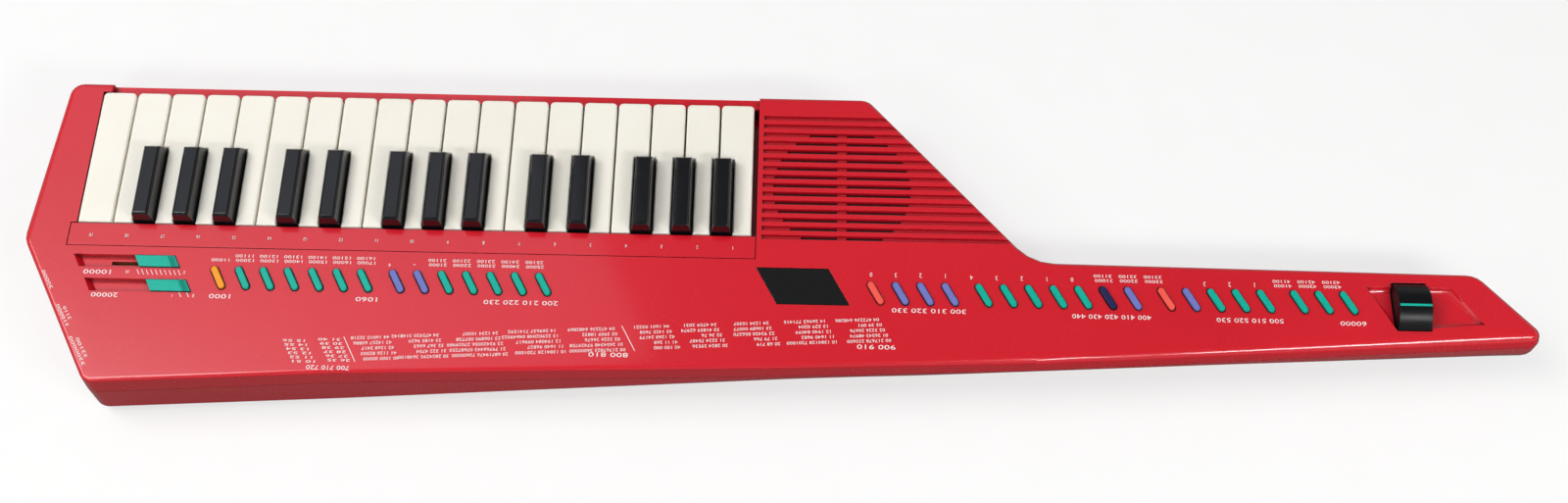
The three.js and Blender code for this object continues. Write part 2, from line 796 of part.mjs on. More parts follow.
// The keyboard chassis: the letter strip over the keys' tails, the rod that the keys hook on with
// its end walls, and a floor with a guide peg for each white key.
function keyFrame() {
  const x0 = -chassisEnd;
  const x1 = keyboardWidth + chassisEnd - keySpacing;
  const strip = box(x0, x1, -stripDepth, -stripGap, -stripThickness, -stripSink);
  const rear = box(x0, x1, -stripDepth, -stripDepth + chassisWall, -chassisFloor - chassisWall,
    -stripThickness / 2);
  const floor = box(x0, x1, -stripDepth, whiteLength, -chassisFloor - chassisWall, -chassisFloor);
  const ends = [x0, x1 - chassisWall].map((x) => box(x, x + chassisWall, -stripDepth, -stripGap,
    -chassisFloor - chassisWall / 2, -stripThickness / 2));
  const rod = rodAlongX(-keyAxisInset, -keyAxisDepth, keyRodRadius, x0 + chassisWall / 2,
    x1 - chassisWall / 2);
  const guides = whiteNotes.map((note, index) => {
    const x = (index + 1 / 2) * whitePitch;
    const y = whiteLength - 3 * keyGuideLength;
    const width = keyGuideWidth / 2;
    return box(x - width, x + width, y, y + keyGuideLength, -chassisFloor - chassisWall / 2,
      -chassisFloor + keyGuideHeight);
  });
  return unionOf([strip, rear, floor, rod, ...ends, ...guides]);
}

// A pill that leans by the slant angle, centred on (x, y).
function pillOutline(x, y, grow) {
  const radius = buttonWidth / 2 + grow;
  const half = (buttonLength - buttonWidth) / 2;
  const dx = Math.sin(slantAngle) * half;
  const dy = Math.cos(slantAngle) * half;
  return [
    ...arcPoints(x - dx, y + dy, radius, slantAngle, slantAngle + Math.PI, pillSteps),
    ...arcPoints(x + dx, y - dy, radius, slantAngle + Math.PI, slantAngle + 2 * Math.PI, pillSteps),
  ];
}

// Each group is one rubber strip: the heads, and a web under the panel that carries them.
function buttonStrip({ centres }) {
  const webTop = -caseWall - fitGap;
  const heads = centres.map(([x, y]) => {
    const shaft = prism(pillOutline(x, y, -buttonGap / 4), webTop - buttonWeb / 2, buttonLift - buttonGap);
    return shaft.add(prism(pillOutline(x, y, -buttonGap), webTop, buttonLift));
  });
  const first = centres[0][0];
  const last = centres[centres.length - 1][0];
  const width = buttonLength - buttonWidth;
  const lean = (Math.tan(slantAngle) * width) / 2;
  const web = prism(slantedOutline(first - lean, -centres[0][1] - width / 2, last - first, width,
    buttonWidth / 2 + buttonWebMargin), webTop - buttonWeb, webTop);
  return unionOf([...heads, web]);
}

function buttonHoles() {
  const holes = buttonGroups.flatMap(({ centres }) => centres.map(
    ([x, y]) => prism(pillOutline(x, y, buttonGap), -caseWall - overrun, overrun)));
  return unionOf(holes);
}

function addButtons() {
  buttonGroups.forEach((group) => {
    addPiece(group.name, buttonStrip(group), group.material);
  });
}

// A solid skinned over flat outlines of as many points each, from the lowest to the highest.
function stackOf(levels) {
  const count = levels[0].outline.length;
  const positions = levels.flatMap(({ outline, z }) => outline.flatMap(([x, y]) => [x, y, z]));
  const index = [];
  for (let level = 0; level + 1 < levels.length; level += 1) {
    for (let i = 0; i < count; i += 1) {
      const a = level * count + i;
      const b = level * count + ((i + 1) % count);
      index.push(a, b, b + count, a, b + count, a + count);
    }
  }
  const top = (levels.length - 1) * count;
  const floor = levels[0].outline.map(([x, y]) => new THREE.Vector2(x, y));
  THREE.ShapeUtils.triangulateShape(floor, []).forEach(([a, b, c]) => {
    index.push(a, c, b, top + a, top + b, top + c);
  });
  const geometry = new THREE.BufferGeometry();
  geometry.setAttribute('position', new THREE.Float32BufferAttribute(positions, 3));
  geometry.setIndex(index);
  return solidOf(geometry);
}

const sliders = {
  volume_knob: { along: volumeAlong, back: volumeBack, travel: volumeTravel },
  power_knob: { along: powerAlong, back: powerBack, travel: powerTravel },
};

// A slider recess has a ramp at its left end.
function sliderPocket({ along, back }) {
  const rim = slantedOutline(along, back, sliderLength, sliderWidth);
  const floor = slantedOutline(along + sliderRamp, back, sliderLength - sliderRamp, sliderWidth);
  return stackOf([
    { outline: floor, z: -sliderDepth },
    { outline: rim, z: 0 },
    { outline: rim, z: overrun },
  ]);
}

function sliderTray({ along, back }) {
  const outline = slantedOutline(along, back, sliderLength, sliderWidth, sliderFloor);
  return prism(outline, -sliderDepth - sliderFloor, -caseWall / 2);
}

// Where a slider's stem stands: under the middle of the knob, in the middle of the recess.
function stemPlace({ along, back }) {
  const lean = (Math.tan(slantAngle) * sliderWidth) / 2;
  return {
    x: along + lean + sliderLength - sliderKnobGap - sliderKnobLength / 2,
    y: -back - sliderWidth / 2,
  };
}

// The slot that a slider's stem runs in, with room for its whole travel.
function stemSlot(slider, z0, z1) {
  const { x, y } = stemPlace(slider);
  const half = sliderStem / 2 + 2 * fitGap;
  return box(x - slider.travel - half, x + half, y - sliderSlot / 2, y + sliderSlot / 2, z0, z1);
}

function sliderKnob(slider) {
  const { x, y } = stemPlace(slider);
  const width = sliderWidth - 2 * sliderKnobGap;
  const lean = (Math.tan(slantAngle) * width) / 2;
  const start = x - sliderKnobLength / 2 - lean;
  const back = -y - width / 2;
  const cap = prism(slantedOutline(start, back, sliderKnobLength, width), -sliderDepth + fitGap,
    sliderKnobLift);
  const half = sliderStem / 2;
  const blade = sliderSlot / 2 - fitGap;
  const stem = box(x - half, x + half, y - blade, y + blade, -boardTop + fitGap, -sliderDepth + 2 * fitGap);
  const ridges = [1, 2, 3].map((place) => {
    const offset = sliderKnobLength - place * ridgePitch - ridgeWidth;
    const outline = slantedOutline(start + offset, back, ridgeWidth, width);
    return prism(outline, sliderKnobLift - ridgeHeight, sliderKnobLift + ridgeHeight);
  });
  return unionOf([cap, stem, ...ridges]);
}

// The rim of the scooped recess round the pitch wheel, drawn in by an inset.
function scoopOutline(inset) {
  const lean = (scoopNear - scoopFar) * Math.tan(slantAngle);
  return [
    [scoopStart + inset, -scoopFar - inset],
    [scoopStart + lean + inset, -scoopNear + inset],
    [scoopEnd - inset, -scoopNear + scoopRise + inset],
    [scoopStart + scoopLength - inset, -scoopFar - inset],
  ];
}

function scoopCut() {
  const levels = [];
  for (let step = filletSteps; step >= 0; step -= 1) {
    const angle = (Math.PI / 2) * (step / filletSteps);
    const inset = scoopSlope * (1 - Math.cos(angle));
    levels.push({ outline: scoopOutline(inset), z: -scoopDepth * Math.sin(angle) });
  }
  levels.push({ outline: scoopOutline(0), z: overrun });
  return stackOf(levels);
}

const wheelHeight = wheelLift - wheelRadius;

// Two open bearings under the panel hold the ends of the wheel's axle.
function wheelBearings() {
  const reach = wheelWidth / 2 + wheelSideGap;
  const height = axleRadius + 2 * bearingWall;
  return [-1, 1].map((side) => {
    const inner = wheelAlong + side * reach;
    const outer = inner + side * bearingWall;
    const x0 = Math.min(inner, outer);
    const x1 = Math.max(inner, outer);
    const bearing = box(x0, x1, -wheelBack - height, -wheelBack + height, wheelHeight - height,
      -scoopDepth - bearingWall / 2);
    const eye = rodAlongX(-wheelBack, wheelHeight, axleRadius + fitGap, x0 - overrun, x1 + overrun);
    const mouth = box(x0 - overrun, x1 + overrun, -wheelBack - axleRadius, -wheelBack + axleRadius,
      wheelHeight - height - overrun, wheelHeight);
    return bearing.subtract(eye).subtract(mouth);
  });
}

// The wheel is a fan on a hub, because only its top shows, with spare rim for its turn either way.
function pitchWheel() {
  const reach = wheelWidth / 2;
  const fan = arcPoints(0, 0, wheelRadius, -wheelSpare, Math.PI + wheelSpare, wheelSteps);
  const hub = arcPoints(0, 0, wheelHub, Math.PI + wheelSpare, 2 * Math.PI - wheelSpare, roundSides / 2);
  const outline = [...fan, ...hub].map(([y, z]) => [y - wheelBack, z + wheelHeight]);
  const rim = profileAlongX(outline, wheelAlong - reach, wheelAlong + reach);
  const end = reach + wheelSideGap + bearingWall;
  const axle = rodAlongX(-wheelBack, wheelHeight, axleRadius, wheelAlong - end, wheelAlong + end);
  return rim.add(axle);
}

// The grille: grooves that run out through the slanted side, cut through over the speaker.
function grilleCut() {
  const cuts = [];
  for (let groove = 0; groove < grooveCount; groove += 1) {
    const y = grooveFirst - groove * groovePitch;
    const rim = grooveWidth / 2;
    const floor = grooveFloorWidth / 2;
    const profile = [
      [y - rim, overrun],
      [y - rim, 0],
      [y - floor, -grooveDepth],
      [y + floor, -grooveDepth],
      [y + rim, 0],
      [y + rim, overrun],
    ];
    cuts.push(profileAlongX(profile, grooveStart, neckRootAlong));
    const chord = Math.sqrt(Math.max(0, grilleRadius ** 2 - (y - speakerFar) ** 2));
    if (chord > grilleRib) {
      [-1, 1].forEach((side) => {
        const inner = speakerAlong + (side * grilleRib) / 2;
        const outer = speakerAlong + side * chord;
        cuts.push(box(Math.min(inner, outer), Math.max(inner, outer), y - floor, y + floor,
          -caseWall - overrun, -grooveDepth / 2));
      });
    }
  }
  return unionOf(cuts);
}

// A rim under the grille that locates the speaker.
function speakerSeat() {
  const radius = speakerRadius + fitGap;
  const ring = turned([
    [radius, -caseWall - speakerRim],
    [radius + speakerRim, -caseWall - speakerRim],
    [radius + speakerRim, -caseWall / 2],
    [radius, -caseWall / 2],
    [radius, -caseWall - speakerRim],
  ], speakerSides);
  return ring.translate([speakerAlong, speakerFar, 0]);
}

// The speaker: a steel basket with its paper cone open to the grille, and the magnet behind.
function speakerDriver() {
  const top = -caseWall - fitGap;
  const cone = speakerRadius - 3 * speakerRim;
  const coil = speakerRadius / 4;
  const magnet = speakerRadius / 2;
  const back = top - speakerHeight;
  const profile = [
    [0, back],
    [magnet, back],
    [magnet, back + speakerHeight / 3],
    [coil + speakerRim, back + speakerHeight / 2],
    [speakerRadius - speakerRim, top - 2 * speakerRim],
    [speakerRadius, top - speakerRim],
    [speakerRadius, top],
    [speakerRadius - speakerRim, top],
    [cone, top - speakerRim],
    [coil, back + (2 * speakerHeight) / 3],
    [coil / 2, back + (3 * speakerHeight) / 4],
    [0, back + (4 * speakerHeight) / 5],
  ];
  return turned(profile, speakerSides).translate([speakerAlong, speakerFar, 0]);
}

// The window over the keys reaches further left over the letter strip. A lip lies lower than the
// panel in front of the key fronts.
const windowLeft = keySpacing / 2 - windowGap - fitGap;
const windowBack = -stripDepth - windowGap;
const windowFar = bodyFar - lipWidth;
const stripFar = -stripGap + windowGap;

function windowWalls() {
  const foot = -chassisFloor + windowWall;
  const end = bodyFar - caseWall;
  return [
    box(windowLeft - windowWall, windowLeft, stripFar, end, foot, -caseWall / 2),
    box(windowRight, windowRight + windowWall, windowBack, end, foot, -caseWall / 2),
    box(windowLeft, windowRight, windowFar, end, -lipDrop - caseWall, -caseWall / 2),
  ];
}

function windowCut() {
  const well = box(windowLeft, windowRight, windowBack, windowFar, -bodyDepth, overrun);
  const strip = box(-chassisEnd - windowGap, windowRight, windowBack, stripFar, -bodyDepth, overrun);
  const lip = box(windowLeft + lipInset, windowRight, windowFar - overrun, bodyFar + overrun,
    -lipDrop, overrun);
  return unionOf([well, strip, lip]);
}

function displayOutline(grow) {
  return slantedOutline(displayAlong, displayBack, displayLength, displayDepth, grow);
}

function displayCut() {
  const seat = prism(displayOutline(0), -displayThickness - fitGap, overrun);
  const view = prism(displayOutline(-displayRim), -caseWall - overrun, -displayThickness / 2);
  return seat.add(view);
}

const boardPostShares = [0.15, 0.35, 0.49, 0.66, 0.83, 0.985];

function boardPosts() {
  return boardPostShares.map((share) => {
    const x = THREE.MathUtils.lerp(boardStart, boardEnd, share);
    return post(x, -boardFar - screwRadius + fitGap, screwRadius - fitGap, -boardTop + fitGap, -caseWall / 2,
      roundSides / 2);
  });
}

// The upper case: the panel with its side wall, and everything that is moulded under it.
function upperCase() {
  const form = upperForm();
  const shell = form.subtract(upperHollow());
  const under = unionOf([
    ...Object.values(sliders).map(sliderTray),
    ...windowWalls(),
    ...boardPosts(),
    stackOf([
      { outline: scoopOutline(-bearingWall), z: -scoopDepth - bearingWall },
      { outline: scoopOutline(-bearingWall), z: -caseWall / 2 },
    ]),
    speakerSeat(),
  ]).intersect(form);
  const wheelWell = rodAlongX(-wheelBack, wheelHeight, wheelRadius + wheelSideGap,
    wheelAlong - wheelWidth / 2 - wheelSideGap, wheelAlong + wheelWidth / 2 + wheelSideGap, 2 * wheelSteps);
  const cuts = unionOf([
    windowCut(),
    buttonHoles(),
    displayCut(),
    grilleCut(),
    scoopCut(),
    wheelWell,
    ...Object.values(sliders).map(sliderPocket),
    ...Object.values(sliders).map((slider) => stemSlot(
      slider, -sliderDepth - sliderFloor - overrun, -sliderDepth + overrun)),
  ]);
  return unionOf([shell.add(under).subtract(cuts), upperPosts(form), ...wheelBearings()]);
}

// The battery bay. Its recessed cover hangs on two tabs at the heel end and swings down; a finger
// dish in the case and a latch tongue are at the other end.
const bayFloor = -bodyDepth + coverThickness + coverSink + fitGap;
const bayEnd = bayStart + bayLength;
const coverStart = bayStart - coverMargin;
const coverEnd = bayEnd + coverMargin;
const coverFace = -bodyDepth + coverSink;
const bayMiddle = bayWidth / 2 - bayNear;

function baySpan(margin) {
  return [-bayNear - margin, -bayNear + bayWidth + margin];
}

function tabSpans(margin) {
  const [y0, y1] = baySpan(coverMargin - tabInset);
  return [[y0 - margin, y0 + tabWidth + margin], [y1 - tabWidth - margin, y1 + margin]];
}

function bayBlock() {
  const [y0, y1] = baySpan(bayWall);
  const [p0, p1] = baySpan(coverMargin + bayWall);
  const left = coverStart - tabReach - bayWall;
  const right = coverEnd + fingerRadius + bayWall;
  const walls = box(bayStart - bayWall, bayEnd + bayWall, y0, y1, -bodyDepth + coverThickness,
    bayFloor + bayHeight + bayWall);
  return walls.add(box(left, right, p0, p1, -bodyDepth, bayFloor + bayWall));
}

function bayCut() {
  const [y0, y1] = baySpan(0);
  const [r0, r1] = baySpan(coverMargin + fitGap);
  const swing = Math.hypot(tabReach, coverThickness) + fitGap;
  const slots = tabSpans(fitGap).map(([t0, t1]) => box(coverStart - tabReach - fitGap,
    bayStart + overrun, t0, t1, coverFace + coverThickness - tabThickness - fitGap, coverFace + swing));
  return unionOf([
    box(bayStart, bayEnd, y0, y1, -bodyDepth, bayFloor + bayHeight),
    box(coverStart - fitGap, coverEnd + fitGap, r0, r1, -bodyDepth - overrun, bayFloor),
    post(coverEnd, bayMiddle, fingerRadius, -bodyDepth - overrun, -bodyDepth + fingerDepth, speakerSides),
    ...slots,
  ]);
}

function batteryCover() {
  const [y0, y1] = baySpan(coverMargin);
  const inner = coverFace + coverThickness;
  const plate = box(coverStart, coverEnd, y0, y1, coverFace, inner);
  const tabs = tabSpans(0).map(([t0, t1]) => box(coverStart - tabReach, coverStart + tabReach, t0, t1,
    inner - tabThickness, inner));
  const latch = box(bayEnd - fitGap - latchThickness, bayEnd - fitGap, bayMiddle - latchWidth / 2,
    bayMiddle + latchWidth / 2, inner - tabThickness, inner + latchHeight);
  const grips = [1, 2, 3, 4].map((place) => {
    const x = coverEnd - 3 * place * ridgePitch;
    return box(x - ridgeWidth, x + ridgeWidth, y0 + bayWidth / 3, y1 - bayWidth / 3, coverFace - overrun,
      coverFace + ridgeHeight);
  });
  return unionOf([plate, latch, ...tabs]).subtract(unionOf(grips));
}

// Sockets stand in the slanted end wall, square to it.
function endWallFrame(along) {
  const from = new THREE.Vector3(-cheekWide, -cheekWideBack, 0);
  const to = new THREE.Vector3(heelAlong, -heelBack, 0);
  const run = to.clone().sub(from).normalize();
  const up = new THREE.Vector3(0, 0, 1);
  const out = run.clone().cross(up);
  const place = from.clone().addScaledVector(run, along).setZ(-socketDepth);
  return new THREE.Matrix4().makeBasis(run, up, out).setPosition(place);
}

function socketProfile(radius) {
  const shelf = -caseWall - fitGap;
  return [
    [0, -socketLength],
    [radius, -socketLength],
    [radius, shelf - socketFlange],
    [radius + socketFlange, shelf - socketFlange],
    [radius + socketFlange, shelf],
    [radius, shelf],
    [radius, -socketSink],
    [0, -socketSink],
  ];
}

function ringCut(outer, inner, depth) {
  return turned([
    [inner, -depth],
    [outer, -depth],
    [outer, overrun],
    [inner, overrun],
    [inner, -depth],
  ], roundSides);
}

// A round cut down the socket's own axis, at (x, y) from it.
function borePin(x, y, radius, depth, sides) {
  return post(x, y, radius, -depth, overrun, sides);
}

const midiPinShares = [-1, -0.5, 0, 0.5, 1];

function midiSocket() {
  const pins = midiPinShares.map((share) => {
    const angle = Math.PI / 2 + (share * Math.PI) / 2;
    const radius = midiRadius / 2;
    return borePin(radius * Math.cos(angle), radius * Math.sin(angle), midiRadius / 8, socketLength / 2,
      roundSides / 2);
  });
  const groove = ringCut((7 * midiRadius) / 8, (3 * midiRadius) / 4, socketLength / 2);
  return turned(socketProfile(midiRadius), 2 * roundSides).subtract(unionOf([groove, ...pins]));
}

function powerSocket() {
  const groove = ringCut((2 * powerSocketRadius) / 3, powerSocketRadius / 4, (3 * socketLength) / 4);
  return turned(socketProfile(powerSocketRadius), roundSides).subtract(groove);
}

function phonesSocket() {
  const bore = borePin(0, 0, phonesRadius / 2 - fitGap, (3 * socketLength) / 4, roundSides);
  return turned(socketProfile(phonesRadius), roundSides).subtract(bore);
}

const sockets = {
  midi_socket: { along: midiAlong, radius: midiRadius, make: midiSocket },
  power_socket: { along: powerSocketAlong, radius: powerSocketRadius, make: powerSocket },
  phones_socket: { along: phonesAlong, radius: phonesRadius, make: phonesSocket },
};

function socketHoles() {
  const holes = Object.values(sockets).map(({ along, radius }) => {
    const hole = post(0, 0, radius + fitGap, -2 * caseWall, overrun, 2 * roundSides);
    return hole.transform(endWallFrame(along).elements);
  });
  return unionOf(holes);
}

const pillarShares = [[0.1, 0.75], [0.1, 0.1], [0.58, 0.75], [0.58, 0.1], [0.9, 0.75], [0.9, 0.1]];

// Pillars carry the keyboard chassis on the lower case.
function chassisPillars() {
  return pillarShares.map(([along, far]) => post(along * keyboardWidth, far * whiteLength, bossRadius,
    -bodyDepth + caseWall / 2, -chassisFloor - chassisWall - fitGap));
}

function lowerCase() {
  const form = lowerForm(0, 0);
  const shell = form.subtract(lowerForm(caseWall, overrun));
  const filled = unionOf([shell, lowerPosts(form), bayBlock(), ...chassisPillars()]);
  return filled.subtract(unionOf([bayCut(), socketHoles(), screwHoles()]));
}

// The board under the panel: it carries the button contacts, both slide controls and the display.
function controlBoard() {
  const plate = box(boardStart, boardEnd, -boardNear, -boardFar, -boardTop - boardThickness, -boardTop);
  const tracks = Object.values(sliders).map((slider) => {
    const { x, y } = stemPlace(slider);
    const half = sliderStem / 2 + sliderFloor;
    const top = -sliderDepth - sliderFloor - fitGap;
    return box(x - slider.travel - half, x + half, y - sliderSlot, y + sliderSlot,
      -boardTop - boardThickness / 2, top);
  });
  const slots = Object.values(sliders).map((slider) => stemSlot(slider, -boardTop, -caseWall));
  const digits = prism(displayOutline(-displayRim - fitGap), -boardTop - boardThickness / 2,
    -caseWall - fitGap);
  return unionOf([plate, digits, ...tracks]).subtract(unionOf(slots));
}

// A strap pin stands on the z = 0 plane of its own frame.
function strapPin() {
  return turned([
    [0, fitGap],
    [2 * pinRadius, fitGap],
    [2 * pinRadius, fitGap + pinBase],
    [pinRadius, fitGap + 2 * pinBase],
    [pinRadius, pinLength - 2 * pinBase],
    [pinHeadRadius, pinLength - pinBase / 2],
    [pinHeadRadius - pinBase / 4, pinLength],
    [0, pinLength],
  ], roundSides);
}

function endPinFrame() {
  const from = new THREE.Vector3(-cheekFar, bodyFar, 0);
  const to = new THREE.Vector3(-cheekWide, -cheekWideBack, 0);
  const share = (bodyFar - endPinFar) / (bodyFar + cheekWideBack);
  const run = to.clone().sub(from).normalize();
  const up = new THREE.Vector3(0, 0, 1);
  const place = from.lerp(to, share).setZ(-endPinDepth);
  return new THREE.Matrix4().makeBasis(run, up, run.clone().cross(up)).setPosition(place);
}

function neckPinFrame() {
  return new THREE.Matrix4().makeRotationX(Math.PI).setPosition(neckPinAlong, -neckPinBack, -neckDepth);
}

addPiece('upper_case', upperCase(), redPlastic);
addPiece('lower_case', lowerCase(), redPlastic);
addPiece('key_frame', keyFrame(), redPlastic);
addKeys();
addButtons();
Object.entries(sliders).forEach(([name, slider]) => addPiece(name, sliderKnob(slider), tealPlastic));
addPiece('pitch_wheel', pitchWheel(), blackPlastic);
addPiece('display_window', prism(displayOutline(-fitGap), -displayThickness, -fitGap / 3), smokedAcrylic);
addPiece('speaker_driver', speakerDriver(), speakerPaper);
addPiece('control_board', controlBoard(), boardLaminate);
addPiece('battery_cover', batteryCover(), redPlastic);
Object.entries(sockets).forEach(([name, { along, make }]) => {
  addPiece(name, make().transform(endWallFrame(along).elements), blackPlastic);
});
addPiece('end_strap_pin', strapPin().transform(endPinFrame().elements), platedSteel);
addPiece('neck_strap_pin', strapPin().transform(neckPinFrame().elements), platedSteel);

// The finished part stands on the underside of its body, with its origin under its middle.
const bounds = new THREE.Box3().setFromObject(keytar);
const centre = bounds.getCenter(new THREE.Vector3());
keytar.position.set(-centre.x, -centre.y, -bounds.min.z);

export default keytar;
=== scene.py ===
"""A strap-on keyboard on its back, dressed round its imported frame, on a pale floor in soft studio light."""

import json
import logging
import math
from dataclasses import dataclass, field
from enum import Enum
from typing import Iterable, Iterator, NamedTuple, Sequence

import bmesh
import bpy
from mathutils import Matrix, Vector


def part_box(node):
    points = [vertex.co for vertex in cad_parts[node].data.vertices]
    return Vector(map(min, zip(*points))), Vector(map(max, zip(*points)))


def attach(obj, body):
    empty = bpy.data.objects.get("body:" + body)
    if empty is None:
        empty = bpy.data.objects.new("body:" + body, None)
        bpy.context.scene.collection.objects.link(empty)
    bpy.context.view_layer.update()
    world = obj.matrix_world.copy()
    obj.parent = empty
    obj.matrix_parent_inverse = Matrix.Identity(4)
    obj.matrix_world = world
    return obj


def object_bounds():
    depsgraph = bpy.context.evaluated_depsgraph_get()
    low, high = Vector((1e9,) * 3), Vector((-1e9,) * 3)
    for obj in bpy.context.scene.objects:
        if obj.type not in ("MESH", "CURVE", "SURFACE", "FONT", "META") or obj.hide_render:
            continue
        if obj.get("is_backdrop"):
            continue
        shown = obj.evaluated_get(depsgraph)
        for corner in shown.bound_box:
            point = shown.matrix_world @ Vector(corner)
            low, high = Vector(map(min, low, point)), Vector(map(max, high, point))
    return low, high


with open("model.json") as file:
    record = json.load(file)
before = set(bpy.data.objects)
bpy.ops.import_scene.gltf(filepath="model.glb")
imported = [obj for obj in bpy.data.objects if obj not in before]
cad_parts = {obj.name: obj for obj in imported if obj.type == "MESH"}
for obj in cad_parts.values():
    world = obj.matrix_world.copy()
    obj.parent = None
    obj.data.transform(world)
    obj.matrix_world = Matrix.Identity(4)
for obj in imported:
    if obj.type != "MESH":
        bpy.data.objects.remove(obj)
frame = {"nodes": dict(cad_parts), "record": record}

LOG = logging.getLogger("keytar")
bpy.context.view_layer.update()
MM = 0.001
WELD = 0.002 * MM
CASE = "case"
Colour = tuple[float, float, float, float]
Triple = tuple[float, float, float]
Socket = bpy.types.NodeSocket
Value = float | Sequence[float] | Socket
Inputs = dict[str | int, Value]
WHITE: Colour = (1.0, 1.0, 1.0, 1.0)
BLACK: Colour = (0.0, 0.0, 0.0, 1.0)


def linear(code: str) -> Colour:
    """Turns a web colour into the linear colour that a shader takes.

    Args:
        code: Six hexadecimal digits, red first.

    Returns:
        Linear red, green and blue, and an alpha of one.
    """
    def channel(start: int) -> float:
        """Reads one channel and takes its display curve off."""
        share = int(code[start:start + 2], 16) / 255
        return share / 12.92 if share <= 0.04045 else ((share + 0.055) / 1.055) ** 2.4
    return channel(0), channel(2), channel(4), 1.0


class Slot(Enum):
    """The record's material slots."""

    RED = "red_plastic"
    IVORY = "ivory_plastic"
    BLACK = "black_plastic"
    TEAL = "teal_plastic"
    PURPLE = "purple_rubber"
    ORANGE = "orange_rubber"
    CORAL = "coral_rubber"
    NAVY = "navy_rubber"
    WINDOW = "smoked_acrylic"
    BOARD = "board_laminate"
    PAPER = "speaker_paper"
    STEEL = "plated_steel"


@dataclass(frozen=True)
class Layout:
    """Places in millimetres: along the keys, across from their tails to their fronts, and up from the panel.

    The camera stands on the tails' side, so that a smaller number across is nearer to it.
    """

    origin: Vector

    @classmethod
    def from_frame(cls, key_gap: float = 0.5, key_length: float = 76.4) -> "Layout":
        """Finds the origin from the first white key and the panel's top.

        Args:
            key_gap: From the keyboard's left end to the first key's side, in millimetres.
            key_length: From the line of the keys' tails to their fronts, in millimetres.

        Returns:
            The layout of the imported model.
        """
        low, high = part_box("white_C6")
        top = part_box("upper_case")[1].z
        return cls(Vector((low.x - key_gap * MM, high.y - key_length * MM, top)))

    def point(self, along: float, across: float, up: float = 0.0) -> Vector:
        """The place in the frame, in metres, of a point given in millimetres."""
        return self.origin + Vector((along, across, up)) * MM


def lean_shift(across: float, angle: float = math.radians(28)) -> float:
    """How far a slanted line moves along the panel for a step of its own across towards the camera."""
    return across * math.tan(angle)


class Noise(NamedTuple):
    """A noise on the object's own coordinates: its cells a metre, and how it is broken up.

    The coordinates are turned about the vertical and then stretched, for marks that run one way.
    """

    scale: float = 1.0
    detail: float = 2.0
    roughness: float = 0.5
    distortion: float = 0.0
    stretch: Triple = (1.0, 1.0, 1.0)
    turn: float = 0.0


class Mask(NamedTuple):
    """A noise of which the values from low to high become start to end."""

    noise: Noise
    low: float
    high: float
    start: float = 0.0
    end: float = 1.0


class Relief(NamedTuple):
    """How high a bump stands in metres, and how strongly it shows."""

    height: float
    strength: float = 1.0


class PaintedShade(NamedTuple):
    """Painted shade in grooves and seams: its colour, its share, and how far away in metres a wall closes a
    place in.

    A place takes the full shade at the closed share of open sky, and none at the opened one.
    """

    colour: str
    share: float
    reach: float
    closed: float = 0.35
    opened: float = 0.96


